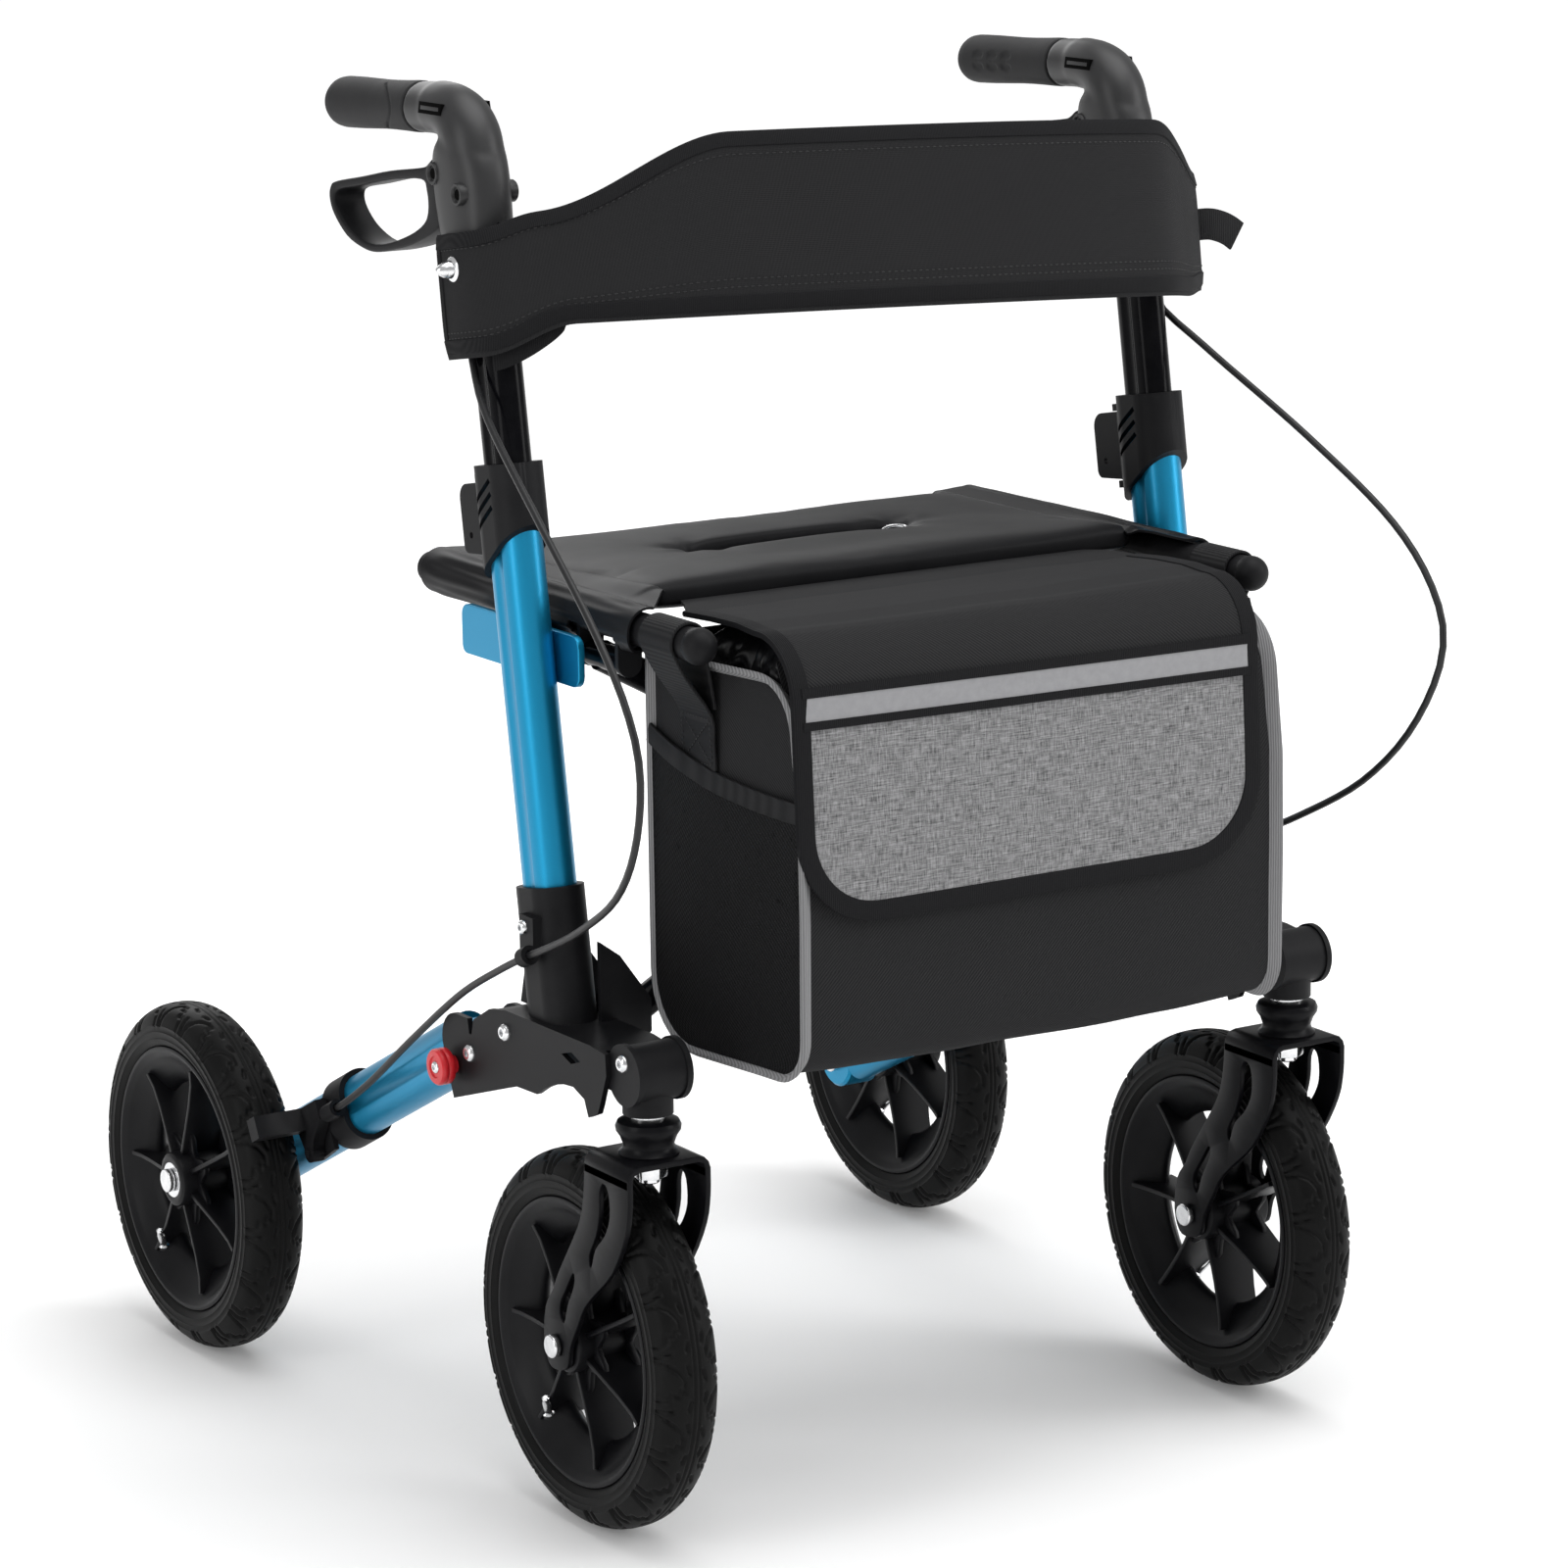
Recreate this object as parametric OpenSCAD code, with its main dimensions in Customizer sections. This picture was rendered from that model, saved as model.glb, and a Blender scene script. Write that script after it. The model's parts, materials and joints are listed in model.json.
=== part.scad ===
// All terrain rollator: four-wheeled folding walking frame with a sling seat, a front bag,
// a back band, height-adjustable handles and two hand brakes.
// Millimetres, +Z up, front is -Y, the floor is Z = 0. The right side (+X) is drawn and mirrored.

/* [Wheels] */
// Outside diameter of each tyre
tyre_d = 254; // [246:1:258]
// Width of each tyre
tyre_w = 46; // [42:1:46]
// Rear axle behind the origin
rear_axle_y = 263; // [258:1:268]
// Front axle to rear axle
wheelbase = 486; // [482:1:490]
// Rear wheel centre from the middle plane
rear_track = 304; // [304:1:310]
// Caster trail: stem axis ahead of the front axle
caster_trail = 71; // [68:1:74]
// Spokes in each rim
spoke_count = 7; // [5:1:9]

/* [Frame] */
// Upright centre from the middle plane
frame_x = 256; // [256:1:258]
// Backward lean of the uprights in degrees
post_tilt = 8.8; // [8:0.1:9.5]
// Where the upright axis meets the floor
post_foot_y = -239; // [-241:1:-237]
// Upright tube, across
tube_w = 29; // [28:0.5:30]
// Upright tube, front to back
tube_d = 42; // [41:0.5:43]
// Wall of the upright and rear leg tubes
tube_wall = 1.6; // [1.2:0.1:1.8]
// Rear leg tube, across
leg_w = 30; // [28:0.5:31]
// Rear leg tube, depth
leg_d = 44; // [42:0.5:46]
// Slope of the rear leg in degrees
leg_slope = 26.8; // [26:0.1:27.5]

/* [Cross brace and seat] */
// Brace pivots from the middle plane
brace_x = 217; // [216:0.5:218]
// Height of the lower brace pivots
brace_low_z = 334; // [332:1:336]
// Height of the upper brace pivots
brace_top_z = 572; // [571:0.5:573]
// Brace tube diameter
brace_d = 21; // [18:0.5:21]
// Height of the seat rails
rail_z = 597; // [596.5:0.5:598]
// Thickness of the seat cushion at its edge
seat_edge_t = 10; // [8:1:12]
// Rise of the seat cushion towards its middle
seat_crown = 6; // [3:1:8]

/* [Bag and band] */
// Half width of the bag
bag_half_w = 190; // [184:1:194]
// Bottom of the bag above the floor
bag_bottom = 325; // [320:1:332]
// Wall of the bag and of its flap
bag_wall = 4; // [3:0.5:5]
// Thickness of the back band
band_t = 4; // [3:0.5:4.5]

/* [Handles and brakes] */
// Handle post, across
post_w = 25; // [24:0.5:25]
// Handle post, front to back
post_d = 38; // [37:0.5:38]
// Height of the grip axis
grip_z = 914; // [912:1:916]
// Grip diameter
grip_d = 34.5; // [34:0.5:37]
// Brake cable diameter
cable_d = 5; // [4:0.5:5]
// Rest gap between brake shoe and tyre
shoe_gap = 3; // [2.8:0.1:3.5]

/* [Hidden] */
$fn = 64;
axle_z = tyre_d / 2;
front_axle_y = rear_axle_y - wheelbase;
stem_y = front_axle_y - caster_trail;
running_gap = 0.1;
side_gap = 0.3;
bolt_r = 4;
axle_r = 5;
hub_half = 26;
leg_end_half = leg_w / 2 - 0.8;
// Reach of a cut that passes right through one side of the frame
cut_in = 200;
cut_out = 300;

// Bracket plates that carry the upright, the rear leg and the caster
plate_in = 20;
plate_out = 24;
web_t = 5;
web_back = -136;
web_front = -276;
leg_pivot = [-103, 297];
lock_screw = [-152, 322];
clip_screw = [-180, 399];
button_at = [-80, 284];
button_r = 6;
socket_bottom = 337;
socket_top = 428;
socket_floor = 4;
head_y = stem_y - 4;
head_z = 325;
head_screw_z = head_z + 8;

// Brace barrels and the lugs that hold them
barrel_r = 8.5;
barrel_mid_y = -190;
barrel_len = 44;
lug_t = 4;
lug_front = barrel_mid_y - barrel_len / 2 - side_gap - lug_t;
lug_back = barrel_mid_y + barrel_len / 2 + side_gap;
pin_r = 5;
brace_run = 2 * brace_x;
brace_rise = brace_top_z - brace_low_z;
brace_angle = atan2(brace_rise, brace_run);
brace_len = norm([brace_run, brace_rise]);
brace_mid_z = (brace_low_z + brace_top_z) / 2;
brace_offset = 11.2;
boss_r = 8;

// Collar, clamp and handle, measured along the leaning post
upright_top = 690;
collar_low = 620;
collar_top = 704;
collar_w = 38;
collar_d = 52;
clamp_y = collar_d / 2 + 7;
clamp_low = 644.5;
clamp_high = 692.5;
clamp_pin_r = 2;
post_bottom = 500;
post_top = 880;
post_wall = 1.8;
housing_low = 856;
housing_high = 920;
housing_shift = 5;
elbow_y = -92;
spigot_r = 10;
spigot_back = 88;
grip_front = -25.5;
lever_pivot = [-66, 878];
lever_pin_r = 3;
lever_w = 24;
cheek = 18;

// Brake on the rear leg, measured from the axle along the leg (u) and square to it (w)
mount_u = 172;
stop_x = 25;
shoe_pivot = [139, -20];

// Seat rails
rail_r = 11;
sleeve_r = 16.5;
rail_front = -300;
rail_back = 50;
sleeve_front = -247;
sleeve_back = 47;
seat_front = -234;
seat_back = 29;
hand_slot = [165, 15];
hand_slot_y = -75;

// Bag, its straps and its flap
bag_rear = -217;
bag_front = -374;
bag_top = 588;
strap_front = -290;
strap_back = -250;
strap_gap = 0.4;
strap_t = 2.5;
flap_half_w = 181;
flap_hinge = [-239, 606];

// Brake cable route: housing, front loop, clip on the socket, brake stop
cable_clip = [284, -190, 382];
cable_steps = 2;
cable_sides = 8;
cable_route = [[272, -99, 843], [272, -110, 800], [272, -117, 760], [285, -160, 728],
    [302, -255, 675], [313, -335, 625], [315, -378, 580], [312, -387.4, 540], [304, -366, 490],
    [295, -325, 448], [288, -265, 414], [285, -220, 394], cable_clip, [284, -155, 366],
    [284, -99, 337], [284, -28, 290], [283, 31, 249], [281.3, 74, 223], [281, 96, 211.3]];

PAIRED = ["upright_tube", "height_collar", "clamp_lever", "hinge_bracket", "seat_saddle",
    "caster_head", "frame_screws", "release_button", "handle_post", "handle_housing", "hand_grip",
    "brake_lever", "rear_leg", "brake_mount", "brake_shoe", "rear_axle", "rear_tyre", "rear_rim",
    "rear_bearings", "caster_fork", "front_axle", "front_tyre", "front_rim", "front_bearings",
    "brake_cable", "seat_rail", "seat_sleeve"];
CENTRAL = ["cross_brace_a", "cross_brace_b", "seat_pad", "bag_body", "bag_flap", "backrest_band"];
function tag(s) = s < 0 ? "_left" : "_right";

// Points along a circular arc
function arc(c, r, a0, a1, n = 8) =
    [for (i = [0 : n]) let (a = a0 + (a1 - a0) * i / n) c + r * [cos(a), sin(a)]];
// Smooth step from 0 to 1
function ease(t) = let (u = max(0, min(1, t))) u * u * (3 - 2 * u);

// Mirrors the right-hand drawing for the left side
module on_side(s) {
    if (s < 0) mirror([1, 0, 0]) children();
    else children();
}
// Oval section: a rectangle with round ends, long in the second direction
module oval(w, d) {
    square([w, d - w], center = true);
    for (k = [-1, 1]) translate([0, k * (d - w) / 2]) circle(d = w);
}
// Frame of the leaning post: z runs up its axis
module on_post() {
    translate([frame_x, post_foot_y, 0]) rotate([-post_tilt, 0, 0]) children();
}
// Frame of the rear leg: z runs from the axle up the leg
module on_leg() {
    translate([frame_x, rear_axle_y, axle_z]) rotate([90 - leg_slope, 0, 0]) children();
}
// Length of the leaning post between two marks
module post_run(t0, t1) { translate([0, 0, t0]) linear_extrude(t1 - t0) children(); }
// Extrudes a (y, z) outline across x
module across(x0, x1) {
    translate([x0, 0, 0]) rotate([90, 0, 90]) linear_extrude(x1 - x0) children();
}
// Extrudes an (x, z) outline along y
module along(y0, y1) {
    translate([0, y1, 0]) rotate([90, 0, 0]) linear_extrude(y1 - y0) children();
}
// Round bar along x or along y
module bar_x(r, x0, x1, y, z) {
    translate([x0, y, z]) rotate([0, 90, 0]) cylinder(r = r, h = x1 - x0);
}
module bar_y(r, y0, y1, x, z) {
    translate([x, y1, z]) rotate([90, 0, 0]) cylinder(r = r, h = y1 - y0);
}
// Short disc or bar on one wheel's axis
module disc_x(r, h) { rotate([0, 90, 0]) cylinder(r = r, h = h, center = true); }
module steel() { color([0.72, 0.73, 0.75]) children(); }
module plastic() { color([0.17, 0.17, 0.18]) children(); }
module blue() { color([0.1, 0.45, 0.66]) children(); }
module fabric() { color([0.13, 0.13, 0.14]) children(); }

// Blue oval tube that carries the handle post
module upright_tube() {
    blue() on_post() post_run(socket_bottom + socket_floor, upright_top) difference() {
        oval(tube_w, tube_d);
        oval(tube_w - 2 * tube_wall, tube_d - 2 * tube_wall);
    }
}

// Plastic collar on top of the upright, with slanted windows and lugs for the clamp lever
module height_collar() {
    slip = 0.6;
    lug = [10, 15, 5];
    plastic() on_post() difference() {
        union() {
            post_run(collar_low, collar_top) oval(collar_w, collar_d);
            for (t = [clamp_low - 0.5 - lug[2], clamp_high + 0.5])
                translate([-lug[0] / 2, collar_d / 2 - 3, t]) cube(lug);
        }
        post_run(collar_low - 10, upright_top) oval(tube_w, tube_d);
        post_run(upright_top - 1, collar_top + 10) oval(post_w + slip, post_d + slip);
        across(-40, 40) polygon([[-60, 600], [60, 600], [60, 628], [24, 630], [-8, 650], [-32, 668],
            [-60, 668]]);
        for (k = [0 : 2]) translate([0, 5, 669.5 + 8.75 * k]) rotate([58, 0, 0])
            cube([60, 3.4, 28], center = true);
        translate([0, clamp_y, 630]) cylinder(r = clamp_pin_r + running_gap, h = 80);
    }
}

// Flip lever behind the collar, with its pin
module clamp_lever() {
    plate_t = 5;
    plastic() on_post() difference() {
        union() {
            translate([0, clamp_y, clamp_low]) cylinder(r = 4.5, h = clamp_high - clamp_low);
            translate([0, clamp_y, 638]) cylinder(r = clamp_pin_r, h = 61);
            across(-plate_t / 2, plate_t / 2) polygon(concat([[clamp_y, clamp_low], [58, 646]],
                arc([60, 652], 6, -70, 0), arc([56, 682], 10, 0, 90), [[clamp_y, clamp_high]]));
        }
        bar_x(2.2, -plate_t, plate_t, 55, 658);
    }
}

// Outline of the bracket plates: notched rear lobe, flat top, hook at the front
bracket_outline = concat([[-78, 260]], arc([-84, 300], 20, -10, 90),
    [[-100, 320], [-102, 310], [-105, 310], [-108, 321], [-130, 333], [-152, 337], [-262, 338],
    [-282, 336], [-283, 322], [-274, 300], [-271, 294], [-259, 289], [-254, 300]],
    [for (i = [0 : 4]) [-240 + 12 * i, 305 - i * i]], [[-165, 288]]);

// Pressed bracket with the socket sleeve, the brace lugs and the cable clip
module hinge_bracket() {
    plastic() difference() {
        union() {
            difference() {
                across(frame_x - plate_out, frame_x + plate_out) polygon(bracket_outline);
                across(frame_x - plate_in, frame_x + plate_in) union() {
                    translate([0, -web_t]) polygon(bracket_outline);
                    translate([web_back, 250]) square([100, 110]);
                    translate([web_front - 30, 250]) square([30, 110]);
                }
            }
            on_post() post_run(socket_bottom, socket_top) oval(collar_w, collar_d);
            across(frame_x - 2, frame_x + 2) polygon([[-165, 336], [-134, 336], [-150, 395], [-160, 395]]);
            for (y = [lug_front, lug_back]) along(y, y + lug_t)
                polygon([[244, 391], [229, 380], [206, 348], [206, 326], [212, 321], [244, 321]]);
            bar_y(pin_r, lug_front, lug_back + lug_t, brace_x, brace_low_z);
            translate([frame_x + 17, cable_clip[1] - 2, cable_clip[2] - 2]) cube([7, 18, 27]);
            translate(cable_clip) rotate([66.6, 0, 0]) cylinder(r = 6.5, h = 10, center = true);
        }
        on_post() post_run(socket_bottom + socket_floor, 540) oval(tube_w, tube_d);
        translate(cable_clip) rotate([66.6, 0, 0]) cylinder(r = cable_d / 2 + 0.6, h = 60, center = true);
        for (p = [leg_pivot, lock_screw]) bar_x(bolt_r, cut_in, cut_out, p[0], p[1]);
        bar_x(button_r + running_gap, frame_x, cut_out, button_at[0], button_at[1]);
        bar_x(2.5, frame_x + 15, cut_out, clip_screw[0], clip_screw[1]);
        across(frame_x, cut_out) polygon([[-226, 324], [-238, 328], [-250, 324], [-238, 320]]);
    }
}

// Blue saddle plate welded inside the upright, which the seat rail comes down on
module seat_saddle() {
    plate_x = frame_x - 19.5;
    shelf_x = 204;
    blue() {
        across(plate_x, frame_x - tube_w / 2) polygon(concat(arc([-42, 560], 6, -90, 0, 4),
            arc([-44, 580], 8, 0, 90, 4), arc([-184, 580], 8, 90, 180, 4), arc([-184, 562], 8, 180, 270, 4)));
        translate([shelf_x, -140, 574]) cube([plate_x - shelf_x, 80, 6]);
    }
}

// Caster head: cross barrel with two ears, tang into the bracket, collar over the stem
module caster_head() {
    plastic() difference() {
        union() {
            bar_x(19, frame_x - 16, frame_x + 16, head_y, head_z);
            for (k = [-1, 1]) translate([frame_x + k * 18, head_y, head_z]) disc_x(20.5, 4);
            translate([frame_x - 15, head_y, head_z - 16]) cube([30, 44, 22]);
            translate([frame_x, stem_y, 297]) cylinder(r = 16.5, h = 20);
        }
        translate([frame_x, stem_y, 280]) cylinder(r = 7 + running_gap, h = 40);
        bar_x(3, cut_in, cut_out, head_y, head_screw_z);
    }
}

// Bright screws of the bracket, the caster head and the cable clip
module frame_screws() {
    steel() {
        for (p = [leg_pivot, lock_screw]) {
            bar_x(bolt_r, frame_x - plate_out, frame_x + plate_out, p[0], p[1]);
            for (k = [-1, 1]) translate([frame_x + k * (plate_out + 1.5), p[0], p[1]]) disc_x(6, 3);
        }
        bar_x(3, frame_x - 20, frame_x + 20, head_y, head_screw_z);
        bar_x(6, frame_x + 20, frame_x + 23, head_y, head_screw_z);
        bar_x(2.5, frame_x + 15, frame_x + 24, clip_screw[0], clip_screw[1]);
        bar_x(5, frame_x + 24, frame_x + 27, clip_screw[0], clip_screw[1]);
    }
}

// Red push button that frees the rear leg
module release_button() {
    color([0.85, 0.1, 0.14]) {
        bar_x(button_r, frame_x + 19.5, frame_x + 30, button_at[0], button_at[1]);
        bar_x(12.5, frame_x + 29, frame_x + 39, button_at[0], button_at[1]);
    }
}

// Gloss black oval post of the handle
module handle_post() {
    color([0.06, 0.06, 0.07]) on_post() post_run(post_bottom, post_top) difference() {
        oval(post_w, post_d);
        oval(post_w - 2 * post_wall, post_d - 2 * post_wall);
    }
}

// Handle housing: shell round the post top, elbow, spigot for the grip and cheeks for the lever
module handle_housing() {
    slot_half = lever_w / 2 + 0.4;
    plastic() difference() {
        union() {
            on_post() translate([0, housing_shift, 0]) post_run(housing_low, housing_high) oval(40, 46);
            translate([frame_x, elbow_y, grip_z]) sphere(r = 22.5);
            bar_y(21.5, elbow_y, -44, frame_x, grip_z);
            bar_y(19.5, -44.5, grip_front - 0.5, frame_x, grip_z);
            bar_y(spigot_r, -30, spigot_back, frame_x, grip_z);
            across(frame_x - cheek, frame_x + cheek) union() {
                translate(lever_pivot) circle(r = 12);
                polygon([[-98, 905], [-54, 905], [-54, 878], [-72, 866], [-98, 866]]);
            }
        }
        on_post() post_run(800, post_top) oval(post_w, post_d);
        across(frame_x - slot_half, frame_x + slot_half) translate([-81, 820]) square([41, 73]);
        bar_x(3, cut_in, cut_out, -98, 866);
    }
    plastic() bar_x(lever_pin_r, frame_x - cheek, frame_x + cheek, lever_pivot[0], lever_pivot[1]);
}

// Rubber grip, a turned form with a swell and a round end
module hand_grip() {
    r = grip_d / 2;
    swell = [for (i = [1 : 10]) [r - 1 + cos(36 * i), 9 * i]];
    bore = spigot_back - grip_front;
    color([0.12, 0.12, 0.13]) translate([frame_x, grip_front, grip_z]) rotate([-90, 0, 0]) difference() {
        rotate_extrude() polygon(concat([[0, 0], [r + 1, 0]], swell, [[r, 112]],
            arc([r - 10, 116], 10, 0, 90), [[0, 126]]));
        translate([0, 0, -1]) cylinder(r = spigot_r, h = bore + 1);
    }
}

// Closed loop brake lever: outer outline and finger hole
lever_outline = concat(arc(lever_pivot, 10, 200, 60, 6), [[-40, 880], [0, 875], [40, 868], [76, 862]],
    arc([77, 853], 9, 80, -30, 5), [[78, 838], [62, 826]], arc([30, 838], 20, -60, -110, 4),
    [[-30, 829], [-66, 843], [-74, 850]]);
lever_hole = [[-52, 868], [-44, 874], [0, 869], [40, 862], [74, 856], [79, 850], [73, 840],
    [58, 831], [32, 824], [8, 826], [-26, 835], [-46, 844], [-52, 852]];
module brake_lever() {
    plastic() difference() {
        across(frame_x - lever_w / 2, frame_x + lever_w / 2) difference() {
            polygon(lever_outline);
            polygon(lever_hole);
        }
        bar_x(lever_pin_r + running_gap, cut_in, cut_out, lever_pivot[0], lever_pivot[1]);
    }
}

// Rear leg: oval tube, eye at the bracket pivot and round end at the axle
module rear_leg() {
    low_end = 14;
    high_end = 366;
    plug = 12;
    blue() difference() {
        union() {
            on_leg() post_run(low_end, high_end) difference() {
                oval(leg_w, leg_d);
                oval(leg_w - 2 * tube_wall, leg_d - 2 * tube_wall);
            }
            on_leg() post_run(high_end - plug, high_end) oval(leg_w, leg_d);
            bar_x(leg_d / 2 - 0.5, frame_x - leg_end_half, frame_x + leg_end_half, rear_axle_y, axle_z);
            across(frame_x - leg_w / 2, frame_x + leg_w / 2) union() {
                translate(leg_pivot) circle(r = 18);
                polygon([[-111, 313], [-98, 314], [-56, 309], [-47, 291.5], [-53.5, 279], [-72, 272],
                    [-110, 280]]);
            }
        }
        bar_x(bolt_r + running_gap, cut_in, cut_out, leg_pivot[0], leg_pivot[1]);
        bar_x(axle_r, cut_in, cut_out, rear_axle_y, axle_z);
    }
}

// Brake clamp ring on the rear leg, with the shoe's pin and the cable stop
module brake_mount() {
    ring_half = 15;
    stop_r = 6;
    pivot_u = shoe_pivot[0];
    plastic() on_leg() difference() {
        union() {
            post_run(mount_u - ring_half, mount_u + ring_half) oval(collar_w, leg_d + 8);
            translate([collar_w / 2 - 1, -stop_r, mount_u + 4]) cube([7, 2 * stop_r, 11]);
            translate([stop_x, 0, mount_u + 2]) cylinder(r = stop_r, h = 18);
            across(leg_w / 2 + side_gap, leg_w / 2 + 4) polygon([[-24, mount_u - 12], [14, mount_u - 12],
                [14, mount_u - 16], [-10, pivot_u + 4], [-14, pivot_u - 6], [-26, pivot_u - 6]]);
            bar_x(3, leg_w / 2 + 1, leg_w / 2 + 16, shoe_pivot[1], pivot_u);
        }
        post_run(100, 250) oval(leg_w, leg_d);
        translate([stop_x, 0, mount_u + 12]) cylinder(r = cable_d / 2 + 0.8, h = 20);
    }
}

// Brake shoe: arm on its pin and a pad across the tread
module brake_shoe() {
    face_u = axle_z + shoe_gap;
    pivot_u = shoe_pivot[0];
    plastic() on_leg() difference() {
        union() {
            across(leg_w / 2 + 5, leg_w / 2 + 14) union() {
                translate([shoe_pivot[1], pivot_u]) circle(r = 7);
                polygon([[-26, pivot_u + 3], [-15, pivot_u - 6], [-4, face_u], [12, face_u], [12, 168],
                    [-2, 168], [-14, 150]]);
            }
            translate([leg_w / 2 + 13, -4, face_u]) cube([38, 16, 13]);
        }
        bar_x(3 + running_gap, 0, 60, shoe_pivot[1], pivot_u);
    }
}

// One tyre: hollow, open towards the rim
module tyre() {
    shoulder = 15;
    bead_r = 97;
    color([0.08, 0.08, 0.08]) rotate([0, 90, 0]) rotate_extrude() difference() {
        union() {
            translate([bead_r, -tyre_w / 2]) square([axle_z - shoulder - bead_r, tyre_w]);
            translate([bead_r, -tyre_w / 2 + shoulder]) square([axle_z - bead_r, tyre_w - 2 * shoulder]);
            for (k = [-1, 1]) translate([axle_z - shoulder, k * (tyre_w / 2 - shoulder)])
                circle(r = shoulder);
        }
        translate([bead_r - 5, -12]) square([19, 24]);
        translate([bead_r - 30, -50]) square([30, 100]);
    }
}

// One rim: well, deep dish, thin spokes and hub with bearing seats
module rim() {
    spoke = [22, 4.4, 72];
    color([0.1, 0.1, 0.11]) difference() {
        union() {
            rotate([0, 90, 0]) rotate_extrude() polygon([[97, -20], [97, 20], [93, 21], [88, 17], [84, 12],
                [84, -12], [88, -17], [93, -21]]);
            disc_x(20, 2 * hub_half);
            for (i = [0 : spoke_count - 1]) rotate([360 * i / spoke_count + 12, 0, 0])
                translate([-spoke[0] / 2, -spoke[1] / 2, 15]) cube(spoke);
        }
        disc_x(7, 80);
        for (k = [-1, 1]) translate([k * hub_half, 0, 0]) disc_x(13, 16);
    }
}

// Two ball bearings in a hub
module bearings() {
    race = 8;
    steel() for (k = [-1, 1]) translate([k * (hub_half - race / 2), 0, 0]) difference() {
        disc_x(13, race);
        disc_x(axle_r + running_gap, 20);
    }
}

module at_rear_wheel() { translate([rear_track, rear_axle_y, axle_z]) children(); }
module at_front_wheel() { translate([frame_x, front_axle_y, axle_z]) children(); }

// Rear axle bolt with spacer, nut and head
module rear_axle() {
    spacer = hub_half + 0.5;
    steel() {
        bar_x(axle_r, frame_x - 20, rear_track + 30, rear_axle_y, axle_z);
        bar_x(9, frame_x - 20, frame_x - leg_end_half, rear_axle_y, axle_z);
        bar_x(8.5, frame_x + leg_end_half, rear_track - spacer, rear_axle_y, axle_z);
        bar_x(8.5, rear_track + spacer, rear_track + 31, rear_axle_y, axle_z);
    }
}

// Front axle bolt through the fork
module front_axle() {
    steel() {
        bar_x(axle_r, frame_x - 36, frame_x + 36, front_axle_y, axle_z);
        for (k = [-1, 1]) translate([frame_x + k * 34, front_axle_y, axle_z]) disc_x(8, 5.4);
    }
}

// S-shaped fork plate with its two slots, in (y, z)
fork_outline = concat([[-264, 270], [-262, 240], [-257, 222], [-247, 206], [-227, 178], [-219, 164]],
    arc([front_axle_y, axle_z], 17, 70, -160, 10), [[-250, 146], [-260, 162], [-274, 175], [-297, 195],
    [-314, 223], [-319, 243], [-320, 262], [-314, 270]]);
fork_slot_high = [[-283, 246], [-288, 253], [-294, 248], [-295, 232], [-288, 218], [-276, 206],
    [-270, 192], [-268, 200], [-277, 215], [-282, 231]];
fork_slot_low = [[-246, 182], [-248, 178], [-245, 170], [-238, 158], [-233, 145], [-228, 150],
    [-229, 158], [-236, 168]];

// Caster fork: crown, two plates, swivel cup, stem and the nut under the crown
module caster_fork() {
    gap = 27;
    plate = 4;
    crown_low = 264;
    stem_r = 7;
    color([0.09, 0.09, 0.1]) difference() {
        union() {
            for (k = [-1, 1]) translate([frame_x + k * (gap + plate / 2), 0, 0]) across(-plate / 2, plate / 2)
                difference() {
                    polygon(fork_outline);
                    polygon(fork_slot_high);
                    polygon(fork_slot_low);
                }
            translate([frame_x - gap - plate, -316, crown_low]) cube([2 * (gap + plate), 50, 6]);
            translate([frame_x, stem_y, 0]) rotate_extrude() polygon([[0, 268], [19, 268], [19, 272],
                [16, 275], [18, 284], [21, 288], [20, 292], [15, 293.5], [0, 293.5]]);
        }
        bar_x(axle_r, cut_in, cut_out, front_axle_y, axle_z);
        translate([frame_x, stem_y, 200]) cylinder(r = stem_r, h = 110);
    }
    steel() translate([frame_x, stem_y, 0]) {
        translate([0, 0, 252]) cylinder(r = stem_r, h = 62);
        translate([0, 0, 293.5]) cylinder(r = 12, h = 3);
        translate([0, 0, 254]) cylinder(r = 11, h = 10, $fn = 6);
    }
}

// Point on a smooth curve through the route, t counted in route points
function bend(p0, p1, p2, p3, t) = 0.5 * (2 * p1 + (p2 - p0) * t
    + (2 * p0 - 5 * p1 + 4 * p2 - p3) * t * t + (3 * p1 - p0 - 3 * p2 + p3) * t * t * t);
function route_at(t) = let (n = len(cable_route) - 1, i = min(floor(t), n - 1))
    bend(cable_route[max(i - 1, 0)], cable_route[i], cable_route[i + 1], cable_route[min(i + 2, n)], t - i);
// One ring of points round a run, square to it
function ring_at(p, d, r, sides) =
    let (a = cross(d, [1, 0, 0]) / norm(cross(d, [1, 0, 0])), b = cross(d, a) / norm(d))
    [for (k = [0 : sides - 1]) p + r * (cos(360 * k / sides) * a + sin(360 * k / sides) * b)];
// Closed tube swept along points
module swept_tube(pts, r, sides) {
    n = len(pts);
    rings = [for (i = [0 : n - 1]) let (run = pts[min(i + 1, n - 1)] - pts[max(i - 1, 0)])
        each ring_at(pts[i], run, r, sides)];
    walls = [for (i = [0 : n - 2]) for (k = [0 : sides - 1])
        let (p = i * sides + k, q = i * sides + (k + 1) % sides) [p, q, q + sides, p + sides]];
    first_cap = [for (k = [sides - 1 : -1 : 0]) k];
    last_cap = [for (k = [0 : sides - 1]) (n - 1) * sides + k];
    polyhedron(rings, concat(walls, [first_cap, last_cap]));
}
module brake_cable() {
    count = (len(cable_route) - 1) * cable_steps;
    run = [for (i = [0 : count]) route_at(i / cable_steps)];
    color([0.1, 0.1, 0.1]) swept_tube(run, cable_d / 2, cable_sides);
}

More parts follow.
